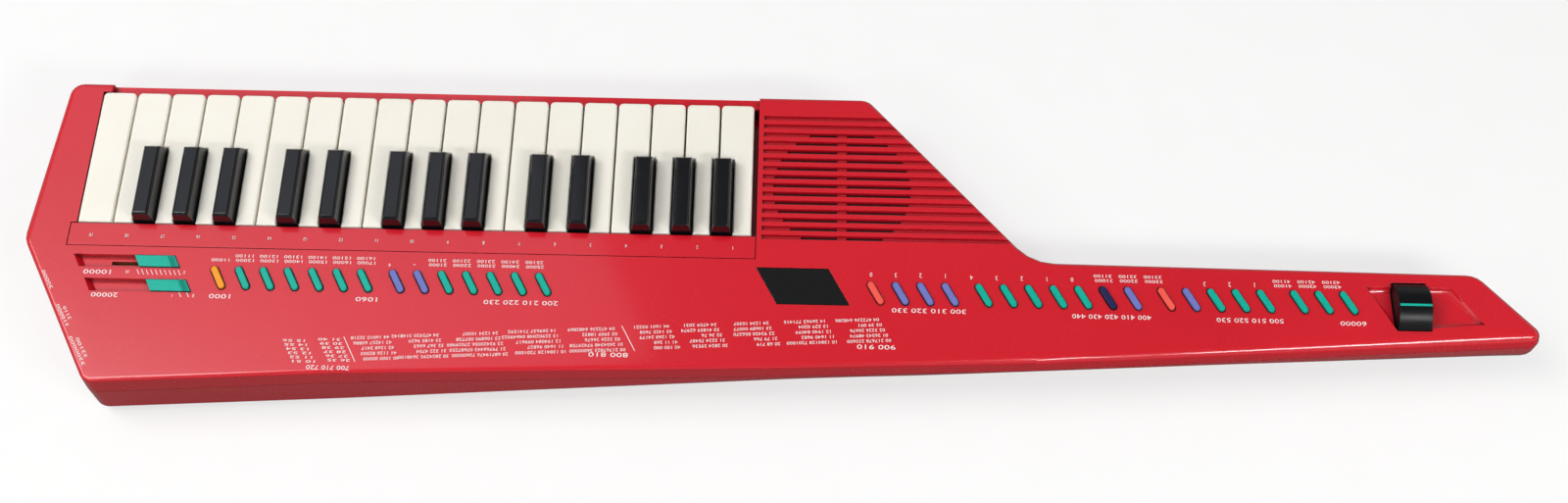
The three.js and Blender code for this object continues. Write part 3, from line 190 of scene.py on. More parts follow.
class Tree:
    """A material's node tree, written a line at a time."""

    STEP = 180
    MIX_SHARE, MIX_FIRST, MIX_SECOND = 0, 6, 7
    MIX_RESULT = 2

    def __init__(self, name: str) -> None:
        """Starts an empty material.

        Args:
            name: The material's name.
        """
        self.material = bpy.data.materials.new(name)
        self.material.use_nodes = True
        self.nodes = self.material.node_tree.nodes
        self.links = self.material.node_tree.links
        self.nodes.clear()
        self.count = 0

    def node(self, kind: str, inputs: Inputs | None = None, **settings: object) -> bpy.types.Node:
        """Adds a node.

        Args:
            kind: Blender's name of the node type, without ShaderNode.
            inputs: What its sockets hold: a number, a colour, or another node's output.
            settings: The node's own properties.

        Returns:
            The new node.
        """
        made = self.nodes.new("ShaderNode" + kind)
        made.location = (self.count * self.STEP, 0)
        self.count += 1
        for key, setting in settings.items():
            setattr(made, key, setting)
        for key, entry in (inputs or {}).items():
            if isinstance(entry, Socket):
                self.links.new(entry, made.inputs[key])
            else:
                made.inputs[key].default_value = entry
        return made

    def place(self, stretch: Triple = (1.0, 1.0, 1.0), turn: float = 0.0) -> Socket:
        """Reads the object coordinates.

        Args:
            stretch: The factor on each axis, after the turn.
            turn: The angle about the vertical.

        Returns:
            The turned and stretched coordinates.
        """
        spot = self.node("TexCoord").outputs["Object"]
        turned = self.node("Mapping", {"Vector": spot, "Rotation": (0, 0, turn)}).outputs["Vector"]
        return self.node("VectorMath", {0: turned, 1: stretch}, operation="MULTIPLY").outputs["Vector"]

    def noise(self, kind: Noise) -> Socket:
        """A noise of that kind."""
        entries = {"Vector": self.place(kind.stretch, kind.turn), "Scale": kind.scale, "Detail": kind.detail,
                   "Roughness": kind.roughness, "Distortion": kind.distortion}
        return self.node("TexNoise", entries).outputs["Fac"]

    def span(self, value: Socket, low: float, high: float, start: float = 0.0, end: float = 1.0) -> Socket:
        """Maps a value's low to high onto start to end, and clamps it."""
        entries = {"Value": value, "From Min": low, "From Max": high, "To Min": start, "To Max": end}
        return self.node("MapRange", entries).outputs["Result"]

    def mask(self, kind: Mask, noise: Socket | None = None) -> Socket:
        """A mask of that kind, from a noise of its own unless one is given."""
        return self.span(noise or self.noise(kind.noise), kind.low, kind.high, kind.start, kind.end)

    def maths(self, operation: str, first: Value, second: Value) -> Socket:
        """One sum of two values."""
        return self.node("Math", {0: first, 1: second}, operation=operation).outputs[0]

    def add_share(self, value: Value, other: Socket, share: float) -> Socket:
        """A value and a share of another together."""
        return self.maths("ADD", value, self.maths("MULTIPLY", other, share))

    def mix(self, share: Value, first: Value, second: Value) -> Socket:
        """A colour between two others, by the share of the second one."""
        entries = {self.MIX_SHARE: share, self.MIX_FIRST: first, self.MIX_SECOND: second}
        return self.node("Mix", entries, data_type="RGBA").outputs[self.MIX_RESULT]

    def tint(self, body: Value, mask: Socket, share: float, code: str) -> Socket:
        """A body colour with a web colour over it, by a share of a mask."""
        return self.mix(self.maths("MULTIPLY", mask, share), body, linear(code))

    def bump(self, height: Socket, relief: Relief, normal: Socket | None = None) -> Socket:
        """Raises the surface.

        Args:
            height: The height, from zero to one.
            relief: How high it stands and how strongly it shows.
            normal: The normal that it starts from, if not the true one.

        Returns:
            The bumped normal.
        """
        entries: Inputs = {"Height": height, "Distance": relief.height, "Strength": relief.strength}
        if normal is not None:
            entries["Normal"] = normal
        return self.node("Bump", entries).outputs["Normal"]

    def soft_edge(self, radius: float, samples: int = 4) -> Socket:
        """A normal that rounds the edges over a radius in metres."""
        return self.node("Bevel", {"Radius": radius}, samples=samples).outputs["Normal"]

    def worn_edge(self, rounded: Socket, wear: Mask, low: float = 0.002, high: float = 0.06) -> Socket:
        """Finds the edges, from how far their rounded normal leaves the true one.

        Args:
            rounded: The rounded normal.
            wear: The patches where an edge is worn.
            low: The least bend of the normal that counts.
            high: The bend that counts fully.

        Returns:
            A mask that is strongest along worn edges.
        """
        plain = self.node("NewGeometry").outputs["Normal"]
        level = self.node("VectorMath", {0: rounded, 1: plain}, operation="DOT_PRODUCT").outputs["Value"]
        edge = self.span(self.maths("SUBTRACT", 1.0, level), low, high)
        return self.maths("MULTIPLY", edge, self.mask(wear))

    def paint_crevice_shade(self, body: Socket, crevice_shade: PaintedShade, samples: int = 8) -> Socket:
        """Paints shade into a colour deep in grooves and seams, by how little open sky a place sees.

        Args:
            body: The unshaded surface's colour.
            crevice_shade: The painted shade.
            samples: The rays for each point.

        Returns:
            The colour with the painted shade.
        """
        sky = self.node("AmbientOcclusion", {"Distance": crevice_shade.reach}, samples=samples).outputs["AO"]
        deep = self.span(sky, crevice_shade.closed, crevice_shade.opened, 1.0, 0.0)
        return self.tint(body, deep, crevice_shade.share, crevice_shade.colour)

    def finish(self, inputs: Inputs) -> bpy.types.Material:
        """Ends the tree in a surface shader.

        Args:
            inputs: What the shader's sockets hold.

        Returns:
            The finished material.
        """
        shader = self.node("BsdfPrincipled", inputs)
        self.node("OutputMaterial", {"Surface": shader.outputs["BSDF"]})
        return self.material


@dataclass(frozen=True)
class MouldedShell:
    """The case's red plastic: glossy, faintly textured, handled, with paler rubbed edges."""

    name: str = "red_shell"
    colour: str = "d51729"
    deep: str = "cd1324"
    rubbed: str = "e2505c"
    rubbed_share: float = 0.35
    rubbed_roughness: float = 0.15
    roughness: float = 0.26
    rounding: float = 0.45 * MM
    patches: Mask = Mask(Noise(7, 4, 0.55), 0.35, 0.7)
    wear: Mask = Mask(Noise(140, 4, 0.7), 0.42, 0.7)
    # Painted shade: a dark red laid into grooves, seams and round the buttons, deepest where walls close in.
    crevice_shade: PaintedShade = PaintedShade("6e0610", 0.9, 2.6 * MM)
    smears: Mask = Mask(Noise(26, 4, 0.55), 0.35, 0.75, -0.015, 0.02)
    hairs: tuple[Mask, Mask] = (
        Mask(Noise(1, 1, 0.4, stretch=(24, 2600, 240), turn=0.5), 0.72, 0.78),
        Mask(Noise(1, 1, 0.4, stretch=(2400, 30, 300), turn=0.3), 0.72, 0.78))
    scratch_roughness: float = 0.03
    scratch_depth: float = 0.1
    grain: Noise = Noise(2600, 2, 0.6)
    relief: Relief = Relief(0.008 * MM, 0.5)

    def build(self) -> bpy.types.Material:
        """Writes the material.

        Returns:
            The finished material.
        """
        tree = Tree(self.name)
        rounded = tree.soft_edge(self.rounding)
        body = tree.mix(tree.mask(self.patches), linear(self.colour), linear(self.deep))
        rubbed = tree.worn_edge(rounded, self.wear)
        # The paler rubbed edges are wear; over them goes painted shade in the grooves and seams.
        colour = tree.paint_crevice_shade(tree.tint(body, rubbed, self.rubbed_share, self.rubbed), self.crevice_shade)
        scratches = tree.maths("MAXIMUM", *(tree.mask(hair) for hair in self.hairs))
        rough = tree.add_share(tree.mask(self.smears), scratches, self.scratch_roughness)
        rough = tree.add_share(rough, rubbed, self.rubbed_roughness)
        rough = tree.maths("ADD", rough, self.roughness)
        cuts = tree.maths("MULTIPLY", scratches, self.scratch_depth)
        height = tree.maths("SUBTRACT", tree.noise(self.grain), cuts)
        return tree.finish({"Base Color": colour, "Roughness": rough, "IOR": 1.42, "Coat Weight": 0.8,
                            "Coat Roughness": 0.07, "Normal": tree.bump(height, self.relief, rounded)})


@dataclass(frozen=True)
class KeyPlastic:
    """Moulded key plastic: a polished top, faint sink and finger marks, and dust along the edges."""

    name: str
    colour: str
    shade: str
    dust: str
    roughness: float
    dust_share: float
    ior: float = 1.49
    rounding: float = 0.25 * MM
    tone: Mask = Mask(Noise(22, 4, 0.6), 0.3, 0.75)
    wear: Mask = Mask(Noise(320, 4, 0.7), 0.4, 0.75)
    finger_marks: Mask = Mask(Noise(60, 5, 0.6, 0.3), 0.35, 0.75, -0.02, 0.06)
    hairs: Mask = Mask(Noise(1, 2, 0.5, stretch=(2400, 14, 9), turn=0.06), 0.66, 0.73, 0.0, 0.1)
    sink: Noise = Noise(90)
    grain: Noise = Noise(2400, 2, 0.6)
    grain_share: float = 0.25
    relief: Relief = Relief(0.006 * MM, 0.8)

    def build(self) -> bpy.types.Material:
        """Writes the material.

        Returns:
            The finished material.
        """
        tree = Tree(self.name)
        rounded = tree.soft_edge(self.rounding)
        body = tree.mix(tree.mask(self.tone), linear(self.colour), linear(self.shade))
        colour = tree.tint(body, tree.worn_edge(rounded, self.wear), self.dust_share, self.dust)
        marks = tree.maths("ADD", tree.mask(self.finger_marks), tree.mask(self.hairs))
        height = tree.add_share(tree.noise(self.sink), tree.noise(self.grain), self.grain_share)
        return tree.finish({"Base Color": colour, "Roughness": tree.maths("ADD", marks, self.roughness),
                            "IOR": self.ior, "Normal": tree.bump(height, self.relief, rounded)})


@dataclass(frozen=True)
class SatinRubber:
    """Silicone rubber or satin plastic of the controls: fine pores, a thumb-worn top, painted shade in the
    corners.
    """

    name: str
    colour: str
    pale: str
    roughness: float = 0.46
    rounding: float = 0.3 * MM
    blotches: Mask = Mask(Noise(120, 3, 0.6), 0.35, 0.75, 0.0, 0.14)
    wear: Mask = Mask(Noise(900, 3, 0.7), 0.4, 0.7, 0.0, 0.3)
    # Painted shade: near black laid into the corners and round the flanks, deepest where walls close in.
    crevice_shade: PaintedShade = PaintedShade("0a1210", 0.95, 2.4 * MM)
    thumbing: Mask = Mask(Noise(200, 4, 0.6), 0.3, 0.75, -0.06, 0.12)
    pores: Noise = Noise(4200, 2, 0.6)
    relief: Relief = Relief(0.014 * MM, 0.7)

    def build(self) -> bpy.types.Material:
        """Writes the material.

        Returns:
            The finished material.
        """
        tree = Tree(self.name)
        rounded = tree.soft_edge(self.rounding)
        pale = linear(self.pale)
        body = tree.mix(tree.mask(self.blotches), linear(self.colour), pale)
        # Worn edges turn pale; over them goes painted shade in the corners.
        colour = tree.paint_crevice_shade(tree.mix(tree.worn_edge(rounded, self.wear), body, pale), self.crevice_shade)
        rough = tree.maths("ADD", tree.mask(self.thumbing), self.roughness)
        return tree.finish({"Base Color": colour, "Roughness": rough, "IOR": 1.36,
                            "Normal": tree.bump(tree.noise(self.pores), self.relief, rounded)})


@dataclass(frozen=True)
class SmokedWindow:
    """Polished smoked acrylic, nearly black, with fine wiping marks and specks of dust."""

    name: str = "smoked_window"
    colour: str = "09090c"
    speck: str = "3a3a40"
    speck_share: float = 0.5
    rounding: float = 0.2 * MM
    specks: Mask = Mask(Noise(1500, 1, 0.5), 0.74, 0.78)
    haze: Mask = Mask(Noise(45, 4), 0.35, 0.7, 0.04, 0.09)
    wipes: Mask = Mask(Noise(1, 3, 0.5, stretch=(60, 1600, 9), turn=0.9), 0.6, 0.7, 0.0, 0.06)
    ripple: Noise = Noise(60)
    relief: Relief = Relief(0.01 * MM, 0.4)

    def build(self) -> bpy.types.Material:
        """Writes the material.

        Returns:
            The finished material.
        """
        tree = Tree(self.name)
        colour = tree.tint(linear(self.colour), tree.mask(self.specks), self.speck_share, self.speck)
        rough = tree.maths("ADD", tree.mask(self.haze), tree.mask(self.wipes))
        normal = tree.bump(tree.noise(self.ripple), self.relief, tree.soft_edge(self.rounding))
        return tree.finish({"Base Color": colour, "Roughness": rough, "Normal": normal, "IOR": 1.49,
                            "Coat Weight": 0.6, "Coat Roughness": 0.03})


@dataclass(frozen=True)
class BoardLaminate:
    """Bare phenolic board: brown paper layers, with green lacquer over copper tracks."""

    name: str = "board_laminate"
    paper: str = "6c5a2c"
    pulp: str = "8a7440"
    lacquer: str = "3d5a2e"
    lacquer_share: float = 0.5
    fibres: Noise = Noise(900, 4, 0.7, stretch=(1, 6, 1))
    dullness: Mask = Mask(Noise(500, 3), 0.3, 0.7, 0.5, 0.68)
    relief: Relief = Relief(0.04 * MM, 0.6)

    def build(self) -> bpy.types.Material:
        """Writes the material.

        Returns:
            The finished material.
        """
        tree = Tree(self.name)
        paper = tree.mix(tree.noise(self.fibres), linear(self.paper), linear(self.pulp))
        bricks = {"Vector": tree.place(), "Color1": WHITE, "Color2": WHITE, "Mortar": BLACK, "Scale": 160.0,
                  "Mortar Size": 0.06}
        tracks = tree.node("TexBrick", bricks, offset=0.37).outputs["Fac"]
        colour = tree.tint(paper, tracks, self.lacquer_share, self.lacquer)
        return tree.finish({"Base Color": colour, "Roughness": tree.mask(self.dullness),
                            "Normal": tree.bump(tracks, self.relief)})


@dataclass(frozen=True)
class PaperCone:
    """Dark paper pulp of the loudspeaker: fibres, and a matt surface."""

    name: str = "cone_paper"
    colour: str = "1b1a1a"
    fibre: str = "2d2b2a"
    fibres: Mask = Mask(Noise(1800, 5, 0.75, 1.5), 0.4, 0.75)
    dullness: Mask = Mask(Noise(600, 3), 0.3, 0.7, 0.82, 0.95)
    relief: Relief = Relief(0.08 * MM, 0.8)

    def build(self) -> bpy.types.Material:
        """Writes the material.

        Returns:
            The finished material.
        """
        tree = Tree(self.name)
        pulp = tree.noise(self.fibres.noise)
        colour = tree.mix(tree.mask(self.fibres, pulp), linear(self.colour), linear(self.fibre))
        return tree.finish({"Base Color": colour, "Roughness": tree.mask(self.dullness),
                            "Normal": tree.bump(pulp, self.relief)})


@dataclass(frozen=True)
class GrilleCloth:
    """Thin black cloth behind the grille: a plain weave of fine threads.

    The wave rate is how many radians a wave texture of scale one turns in a metre.
    """

    name: str = "grille_cloth"
    ground: str = "0b0a0b"
    thread: str = "2a2426"
    thread_share: float = 0.8
    thread_pitch: float = 0.6785 * MM
    wave_rate: float = 20.0
    ground_roughness: float = 0.95
    thread_roughness: float = 0.8
    relief: Relief = Relief(0.12 * MM)

    def build(self) -> bpy.types.Material:
        """Writes the material.

        Returns:
            The finished material.
        """
        tree = Tree(self.name)
        scale = math.tau / (self.wave_rate * self.thread_pitch)
        threads = {"Vector": tree.place(), "Scale": scale, "Distortion": 0.2, "Detail": 1.0}
        weave = tree.maths("MAXIMUM", *(
            tree.node("TexWave", threads, bands_direction=way).outputs["Fac"] for way in ("X", "Y")))
        rough = tree.span(weave, 0.0, 1.0, self.ground_roughness, self.thread_roughness)
        colour = tree.tint(linear(self.ground), weave, self.thread_share, self.thread)
        return tree.finish({"Base Color": colour, "Roughness": rough, "Normal": tree.bump(weave, self.relief),
                            "Sheen Weight": 0.3})


@dataclass(frozen=True)
class PlatedSteel:
    """Nickel-plated steel, polished, with fine turning marks and a little tarnish."""

    name: str = "plated_steel"
    colour: str = "c9ccd0"
    tarnish: str = "8f8a80"
    tarnish_share: float = 0.45
    tarnish_roughness: float = 0.2
    roughness: float = 0.2
    rounding: float = 0.2 * MM
    spots: Mask = Mask(Noise(420, 5, 0.7), 0.5, 0.72)
    turning: Mask = Mask(Noise(stretch=(700, 700, 9000)), 0.35, 0.7, -0.05, 0.1)
    relief: Relief = Relief(0.006 * MM, 0.6)

    def build(self) -> bpy.types.Material:
        """Writes the material.

        Returns:
            The finished material.
        """
        tree = Tree(self.name)
        spots = tree.mask(self.spots)
        marks = tree.noise(self.turning.noise)
        colour = tree.tint(linear(self.colour), spots, self.tarnish_share, self.tarnish)
        rough = tree.add_share(tree.mask(self.turning, marks), spots, self.tarnish_roughness)
        return tree.finish({"Base Color": colour, "Metallic": 1.0,
                            "Roughness": tree.maths("ADD", rough, self.roughness),
                            "Normal": tree.bump(marks, self.relief, tree.soft_edge(self.rounding))})


@dataclass(frozen=True)
class PrintInk:
    """White screen-printed ink, thin in places, with a slightly grainy film."""

    name: str = "white_print"
    colour: str = "f2eceb"
    thin: str = "eaa9ae"
    wear: Mask = Mask(Noise(1600, 3, 0.7), 0.52, 0.78)
    dullness: Mask = Mask(Noise(700), 0.3, 0.7, 0.4, 0.55)
    film: Noise = Noise(3000)
    relief: Relief = Relief(0.01 * MM, 0.5)

    def build(self) -> bpy.types.Material:
        """Writes the material.

        Returns:
            The finished material.
        """
        tree = Tree(self.name)
        colour = tree.mix(tree.mask(self.wear), linear(self.colour), linear(self.thin))
        return tree.finish({"Base Color": colour, "Roughness": tree.mask(self.dullness),
                            "Normal": tree.bump(tree.noise(self.film), self.relief)})


FINISHES = {
    Slot.RED: MouldedShell(),
    Slot.IVORY: KeyPlastic("ivory_keys", "f5f1e6", "f0ebdd", "d2c4ac", 0.3, 0.3),
    Slot.BLACK: KeyPlastic("black_keys", "0c0d10", "121317", "4a4b50", 0.15, 0.25),
    Slot.TEAL: SatinRubber("teal_satin", "02ac97", "1cb6a2"),
    Slot.PURPLE: SatinRubber("purple_rubber", "6c74bc", "8f95d0"),
    Slot.ORANGE: SatinRubber("orange_rubber", "f59a1c", "fab650"),
    Slot.CORAL: SatinRubber("coral_rubber", "f4564a", "f88476"),
    Slot.NAVY: SatinRubber("navy_rubber", "1b1d4c", "4a4c7c"),
    Slot.WINDOW: SmokedWindow(),
    Slot.BOARD: BoardLaminate(),
    Slot.PAPER: PaperCone(),
    Slot.STEEL: PlatedSteel(),
}
WHEEL_FINISH = KeyPlastic("wheel_black", "08090b", "0f1013", "303136", 0.34, 0.15, ior=1.3)


class Finishes:
    """The materials of the slots, each made once."""

    def __init__(self) -> None:
        """Builds every slot's material, the ink, the cloth and the duller black of the wheel."""
        self.by_slot = {slot: finish.build() for slot, finish in FINISHES.items()}
        self.by_node = {"pitch_wheel": WHEEL_FINISH.build()}
        self.ink = PrintInk().build()
        self.cloth = GrilleCloth().build()


@dataclass
class Smoothing:
    """Smooth shading with sharp edges kept, for meshes that come as loose triangles."""

    angle: float = math.radians(32)
    group: bpy.types.NodeTree = field(init=False)

    def __post_init__(self) -> None:
        """Builds the node group that joins, smooths and keeps the sharp edges."""
        group = bpy.data.node_groups.new("smooth_by_angle", "GeometryNodeTree")
        for way in ("INPUT", "OUTPUT"):
            group.interface.new_socket("Geometry", in_out=way, socket_type="NodeSocketGeometry")
        add = group.nodes.new
        entry, leave = add("NodeGroupInput"), add("NodeGroupOutput")
        merge, faces, edges = (add("GeometryNode" + kind) for kind in
                               ("MergeByDistance", "SetShadeSmooth", "SetShadeSmooth"))
        merge.inputs["Distance"].default_value = WELD
        edges.domain = "EDGE"
        edges.inputs["Shade Smooth"].default_value = False
        turn, steep = add("GeometryNodeInputMeshEdgeAngle"), add("FunctionNodeCompare")
        steep.operation = "GREATER_THAN"
        steep.inputs[1].default_value = self.angle
        for start, end in ((entry.outputs[0], merge.inputs["Geometry"]),
                           (merge.outputs[0], faces.inputs["Geometry"]),
                           (faces.outputs[0], edges.inputs["Geometry"]),
                           (turn.outputs["Unsigned Angle"], steep.inputs[0]),
                           (steep.outputs[0], edges.inputs["Selection"]),
                           (edges.outputs[0], leave.inputs[0])):
            group.links.new(start, end)
        self.group = group

    def apply(self, piece: bpy.types.Object) -> None:
        """Gives a piece the smoothing as its last modifiers.

        Args:
            piece: The piece.
        """
        smooth = piece.modifiers.new("smooth", "NODES")
        smooth.node_group = self.group
        weighted = piece.modifiers.new("weighted", "WEIGHTED_NORMAL")
        weighted.keep_sharp = True


@dataclass
class Rounding:
    """A small real bevel on the edges of a small moulding."""

    width: float
    segments: int = 2
    limit: float = math.radians(35)
    flat: float = math.radians(0.4)

    def apply(self, piece: bpy.types.Object) -> None:
        """Joins, thins and bevels a mesh with modifiers.

        Args:
            piece: The piece whose mesh it is.
        """
        weld = piece.modifiers.new("join", "WELD")
        weld.merge_threshold = WELD
        thin = piece.modifiers.new("flat_faces", "DECIMATE")
        thin.decimate_type = "DISSOLVE"
        thin.angle_limit = self.flat
        bevel = piece.modifiers.new("rounding", "BEVEL")
        bevel.width = self.width
        bevel.segments = self.segments
        bevel.limit_method = "ANGLE"
        bevel.angle_limit = self.limit
        bevel.use_clamp_overlap = True


@dataclass
class FrameDresser:
    """Gives every CAD node its slot's material and its smoothing."""

    finishes: Finishes
    smoothing: Smoothing
    rounded: dict[str, Rounding] = field(default_factory=lambda: {
        "black_": Rounding(0.3 * MM), "white_": Rounding(0.2 * MM), "_button": Rounding(0.35 * MM),
        "_knob": Rounding(0.2 * MM), "pitch_wheel": Rounding(0.4 * MM)})

    def dress(self) -> None:
        """Dresses every node of the record."""
        slots = {row["node"]: Slot(row["material_slot"]) for row in frame["record"]["subparts"]}
        for name, node in frame["nodes"].items():
            node.data.materials.clear()
            node.data.materials.append(self.finishes.by_node.get(name, self.finishes.by_slot[slots[name]]))
            for key, rounding in self.rounded.items():
                if key in name:
                    rounding.apply(node)
                    break
            self.smoothing.apply(node)
        LOG.info("dressed %d nodes", len(frame["nodes"]))


@dataclass
class Workshop:
    """Turns a finished bmesh into a named piece that rides on a body."""

    smoothing: Smoothing
    merge: float = 0.001 * MM

    def publish(self, mesh: bmesh.types.BMesh, name: str, material: bpy.types.Material, body: str,
                slot: Slot | None = None, smooth: bool = True, turned: bool = False) -> None:
        """Makes the object, with its place in its mesh.

        Args:
            mesh: The shape in the frame's metres; it is freed.
            name: The piece's name.
            material: Its only material.
            body: The body that it rides on.
            slot: Not used.
            smooth: Whether it gets the smooth shading.
            turned: Whether its normals are worked out again, after its doubles are merged.
        """
        if turned:
            bmesh.ops.remove_doubles(mesh, verts=mesh.verts, dist=self.merge)
            bmesh.ops.recalc_face_normals(mesh, faces=mesh.faces)
        data = bpy.data.meshes.new(name)
        mesh.to_mesh(data)
        mesh.free()
        data.materials.append(material)
        piece = bpy.data.objects.new(name, data)
        bpy.context.scene.collection.objects.link(piece)
        if smooth:
            self.smoothing.apply(piece)
        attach(piece, body)
        LOG.info("made %s, %d faces, on %s", name, len(data.polygons), body)


@dataclass
class Piece:
    """A sub-assembly of new pieces, and what it needs to be built."""

    layout: Layout
    workshop: Workshop
    finishes: Finishes


def stand(mesh: bmesh.types.BMesh, verts: Iterable[bmesh.types.BMVert], place: Vector,
          turn: Matrix | None = None) -> None:
    """Turns vertices about the origin and then moves them to their place.

    Args:
        mesh: Where they are.
        verts: The vertices.
        place: What is added to them, in metres.
        turn: The rotation before that, if there is one.
    """
    matrix = Matrix.Translation(place)
    if turn is not None:
        matrix = matrix @ turn.to_4x4()
    bmesh.ops.transform(mesh, matrix=matrix, verts=list(verts))


def plate(mesh: bmesh.types.BMesh, corners: Sequence[Vector], height: float) -> None:
    """Extrudes a flat outline, listed anticlockwise from above, upwards by a height.

    Args:
        mesh: Where it is built.
        corners: The outline's corners in metres.
        height: The thickness in metres.
    """
    face = mesh.faces.new([mesh.verts.new(corner) for corner in corners])
    grown = bmesh.ops.extrude_face_region(mesh, geom=[face])
    top = [item for item in grown["geom"] if isinstance(item, bmesh.types.BMVert)]
    bmesh.ops.translate(mesh, vec=Vector((0, 0, height)), verts=top)
    face.normal_flip()


def add_mesh(whole: bmesh.types.BMesh, part: bmesh.types.BMesh) -> None:
    """Adds one bmesh to another and frees it.

    Args:
        whole: The bmesh that grows.
        part: The bmesh that is added.
    """
    data = bpy.data.meshes.new("part")
    part.to_mesh(data)
    part.free()
    whole.from_mesh(data)
    bpy.data.meshes.remove(data)


class Anchor(Enum):
    """Which point of a number stands at its place."""

    MIDDLE = "CENTER"
    START = "LEFT"


class Figure(NamedTuple):
    """One plain number of the printing, with its place along and across the panel in millimetres.

    Its breadth, where it has one, is the length that it is stretched to.
    """

    text: str
    along: float
    across: float
    height: float
    slope: float = 0.0
    anchor: Anchor = Anchor.MIDDLE
    breadth: float = 0.0


class SignRow(NamedTuple):
    """Signs in a row at an even pitch, the first one at its place."""

    signs: str
    along: float
    pitch: float
    across: float
    height: float


class CountRow(NamedTuple):
    """Numbers that count upwards in a row at an even pitch, the first one at its place."""

    first: int
    count: int
    along: float
    pitch: float
    across: float


class Heading(NamedTuple):
    """A number, or a few in a line, stretched to a breadth."""

    text: str
    along: float
    across: float
    breadth: float


class ListColumn(NamedTuple):
    """A column of the long list, with the number it counts down from and how many digits each row has."""

    along: float
    across: float
    first: int
    lengths: tuple[int, ...]


class PairColumn(NamedTuple):
    """A column of the small block, with the two numbers that it counts down from."""

    along: float
    across: float
    first: int
    second: int


class Stroke(NamedTuple):
    """A slanted stroke: its far left corner, its length along and its width across, in millimetres."""

    along: float
    across: float
    length: float
    width: float


@dataclass
class Printing(Piece):
    """The white printing, upside down to the camera: plain numbers, signs, tick marks and dividers.

    Point is a font's size over the height of its digits, and narrow is the factor on their width. The
    digits in a row of the long list are the first ones of a power of its number.
    """

    thickness: float = 0.03
    lift: float = 0.02
    point: float = 1.38
    narrow: float = 0.8
    sign_rows: tuple[SignRow, ...] = (
        SignRow("+ -", 160.5, 12.5, -20.7, 2.9), SignRow("0 3 2 1", 402.4, 12.45, -20.5, 2.6),
        SignRow("4 3 2 1 0", 452.9, 12.65, -21.0, 2.6), SignRow("3 2 1", 570.1, 12.6, -21.9, 2.6))
    count_rows: tuple[CountRow, ...] = (
        CountRow(11000, 7, 75.9, 12.2, -19.9), CountRow(11100, 6, 87.6, 12.2, -17.4),
        CountRow(21000, 5, 184.7, 12.2, -20.2), CountRow(21100, 5, 184.2, 12.2, -17.7),
        CountRow(31000, 3, 519.5, 12.6, -21.2), CountRow(31100, 3, 519.0, 12.6, -18.7),
        CountRow(41000, 3, 609.5, 12.5, -22.1), CountRow(41100, 3, 609.0, 12.5, -19.6))
    count_step: int = 1000
    count_height: float = 1.75
    count_breadth: float = 9.0
    headings: tuple[Heading, ...] = (
        Heading("10000", 15.6, -27.8, 13.7), Heading("20000", 21.0, -40.4, 13.3),
        Heading("1000", 78.6, -40.0, 10.6), Heading("1060", 151.6, -40.0, 10.7),
        Heading("200 210 220 230", 227.9, -40.1, 37.0), Heading("300 310 320 330", 431.2, -40.0, 37.0),
        Heading("400 410 420 430 440", 522.2, -41.2, 39.5), Heading("500 510 520 530", 591.3, -41.6, 33.5),
        Heading("60000", 642.8, -42.1, 13.0), Heading("700 710 720", 136.5, -77.2, 21.0),
        Heading("800 810", 273.0, -67.3, 19.5), Heading("900 910", 404.8, -60.2, 19.0))
    heading_height: float = 2.5
    socket_labels: tuple[Heading, ...] = (
        Heading("30000", -8.7, -32.7, 11.7), Heading("310000", 2.5, -52.2, 13.8),
        Heading("3110", 4.5, -50.8, 8.1), Heading("3200000", 13.1, -71.1, 17.8),
        Heading("32100", 15.1, -69.4, 12.2))
    socket_height: float = 1.6
    socket_slope: float = math.radians(-58)
    slide_ends: tuple[Figure, ...] = (
        Figure("10", 30.3, -27.5, 1.8), Figure("0", 58.6, -27.3, 1.8),
        Figure("1", 54.5, -40.2, 1.8), Figure("0", 65.0, -40.0, 1.8))
    keys: int = 19
    key_pitch: float = 18.0
    key_number: Figure = Figure("", 8.5, -7.2, 2.0)
    list_columns: tuple[ListColumn, ...] = (
        ListColumn(164.8, -60.2, 44, (10, 10, 8, 9, 9)), ListColumn(189.1, -58.6, 34, (13, 8, 7, 7, 14)),
        ListColumn(218.1, -56.9, 24, (9, 12, 16, 16, 16)), ListColumn(246.6, -54.9, 14, (13, 16, 12, 9, 14)),
        ListColumn(275.5, -53.2, 4, (13, 9, 9, 15, 16)), ListColumn(302.4, -51.3, 44, (9, 8, 9, 5, 6)),
        ListColumn(325.8, -49.8, 34, (8, 10, 4, 9, 9)), ListColumn(351.6, -48.4, 24, (9, 10, 11, 5, 5)),
        ListColumn(379.9, -46.7, 14, (11, 7, 9, 8, 14)), ListColumn(406.3, -45.3, 4, (12, 5, 9, 10, 12)))
    list_pitch: float = 2.79
    list_height: float = 1.75
    list_slope: float = math.radians(3)
    letter_pitch: float = 1.45
    lead_letters: int = 3
    digit_base: int = 60
    digit_power: int = 12
    pair_columns: tuple[PairColumn, ...] = (
        PairColumn(118.5, -63.2, 15, 56), PairColumn(135.5, -62.2, 31, 40))
    pair_rows: int = 6
    pair_pitch: float = 2.2
    pair_height: float = 1.4
    pair_breadth: float = 11.0
    ticks: int = 10
    tick_pitch: float = 2.28
    tick: Stroke = Stroke(34.6, -26.2, 0.35, 2.8)
    dividers: tuple[Stroke, ...] = (
        Stroke(57.5, -38.4, 0.35, 2.6), Stroke(61.3, -38.4, 0.35, 2.6),
        Stroke(142.2, -60.7, 0.4, 13.2), Stroke(278.6, -51.7, 0.4, 13.4))

    def button_figures(self) -> Iterator[Figure]:
        """Lists the signs and the numbers of the two button rows.

        Yields:
            Each figure.
        """
        for row in self.sign_rows:
            for place, sign in enumerate(row.signs.split()):
                yield Figure(sign, row.along + row.pitch * place, row.across, row.height)
        for row in self.count_rows:
            for place in range(row.count):
                yield Figure(str(row.first + self.count_step * place), row.along + row.pitch * place,
                             row.across, self.count_height, breadth=self.count_breadth)

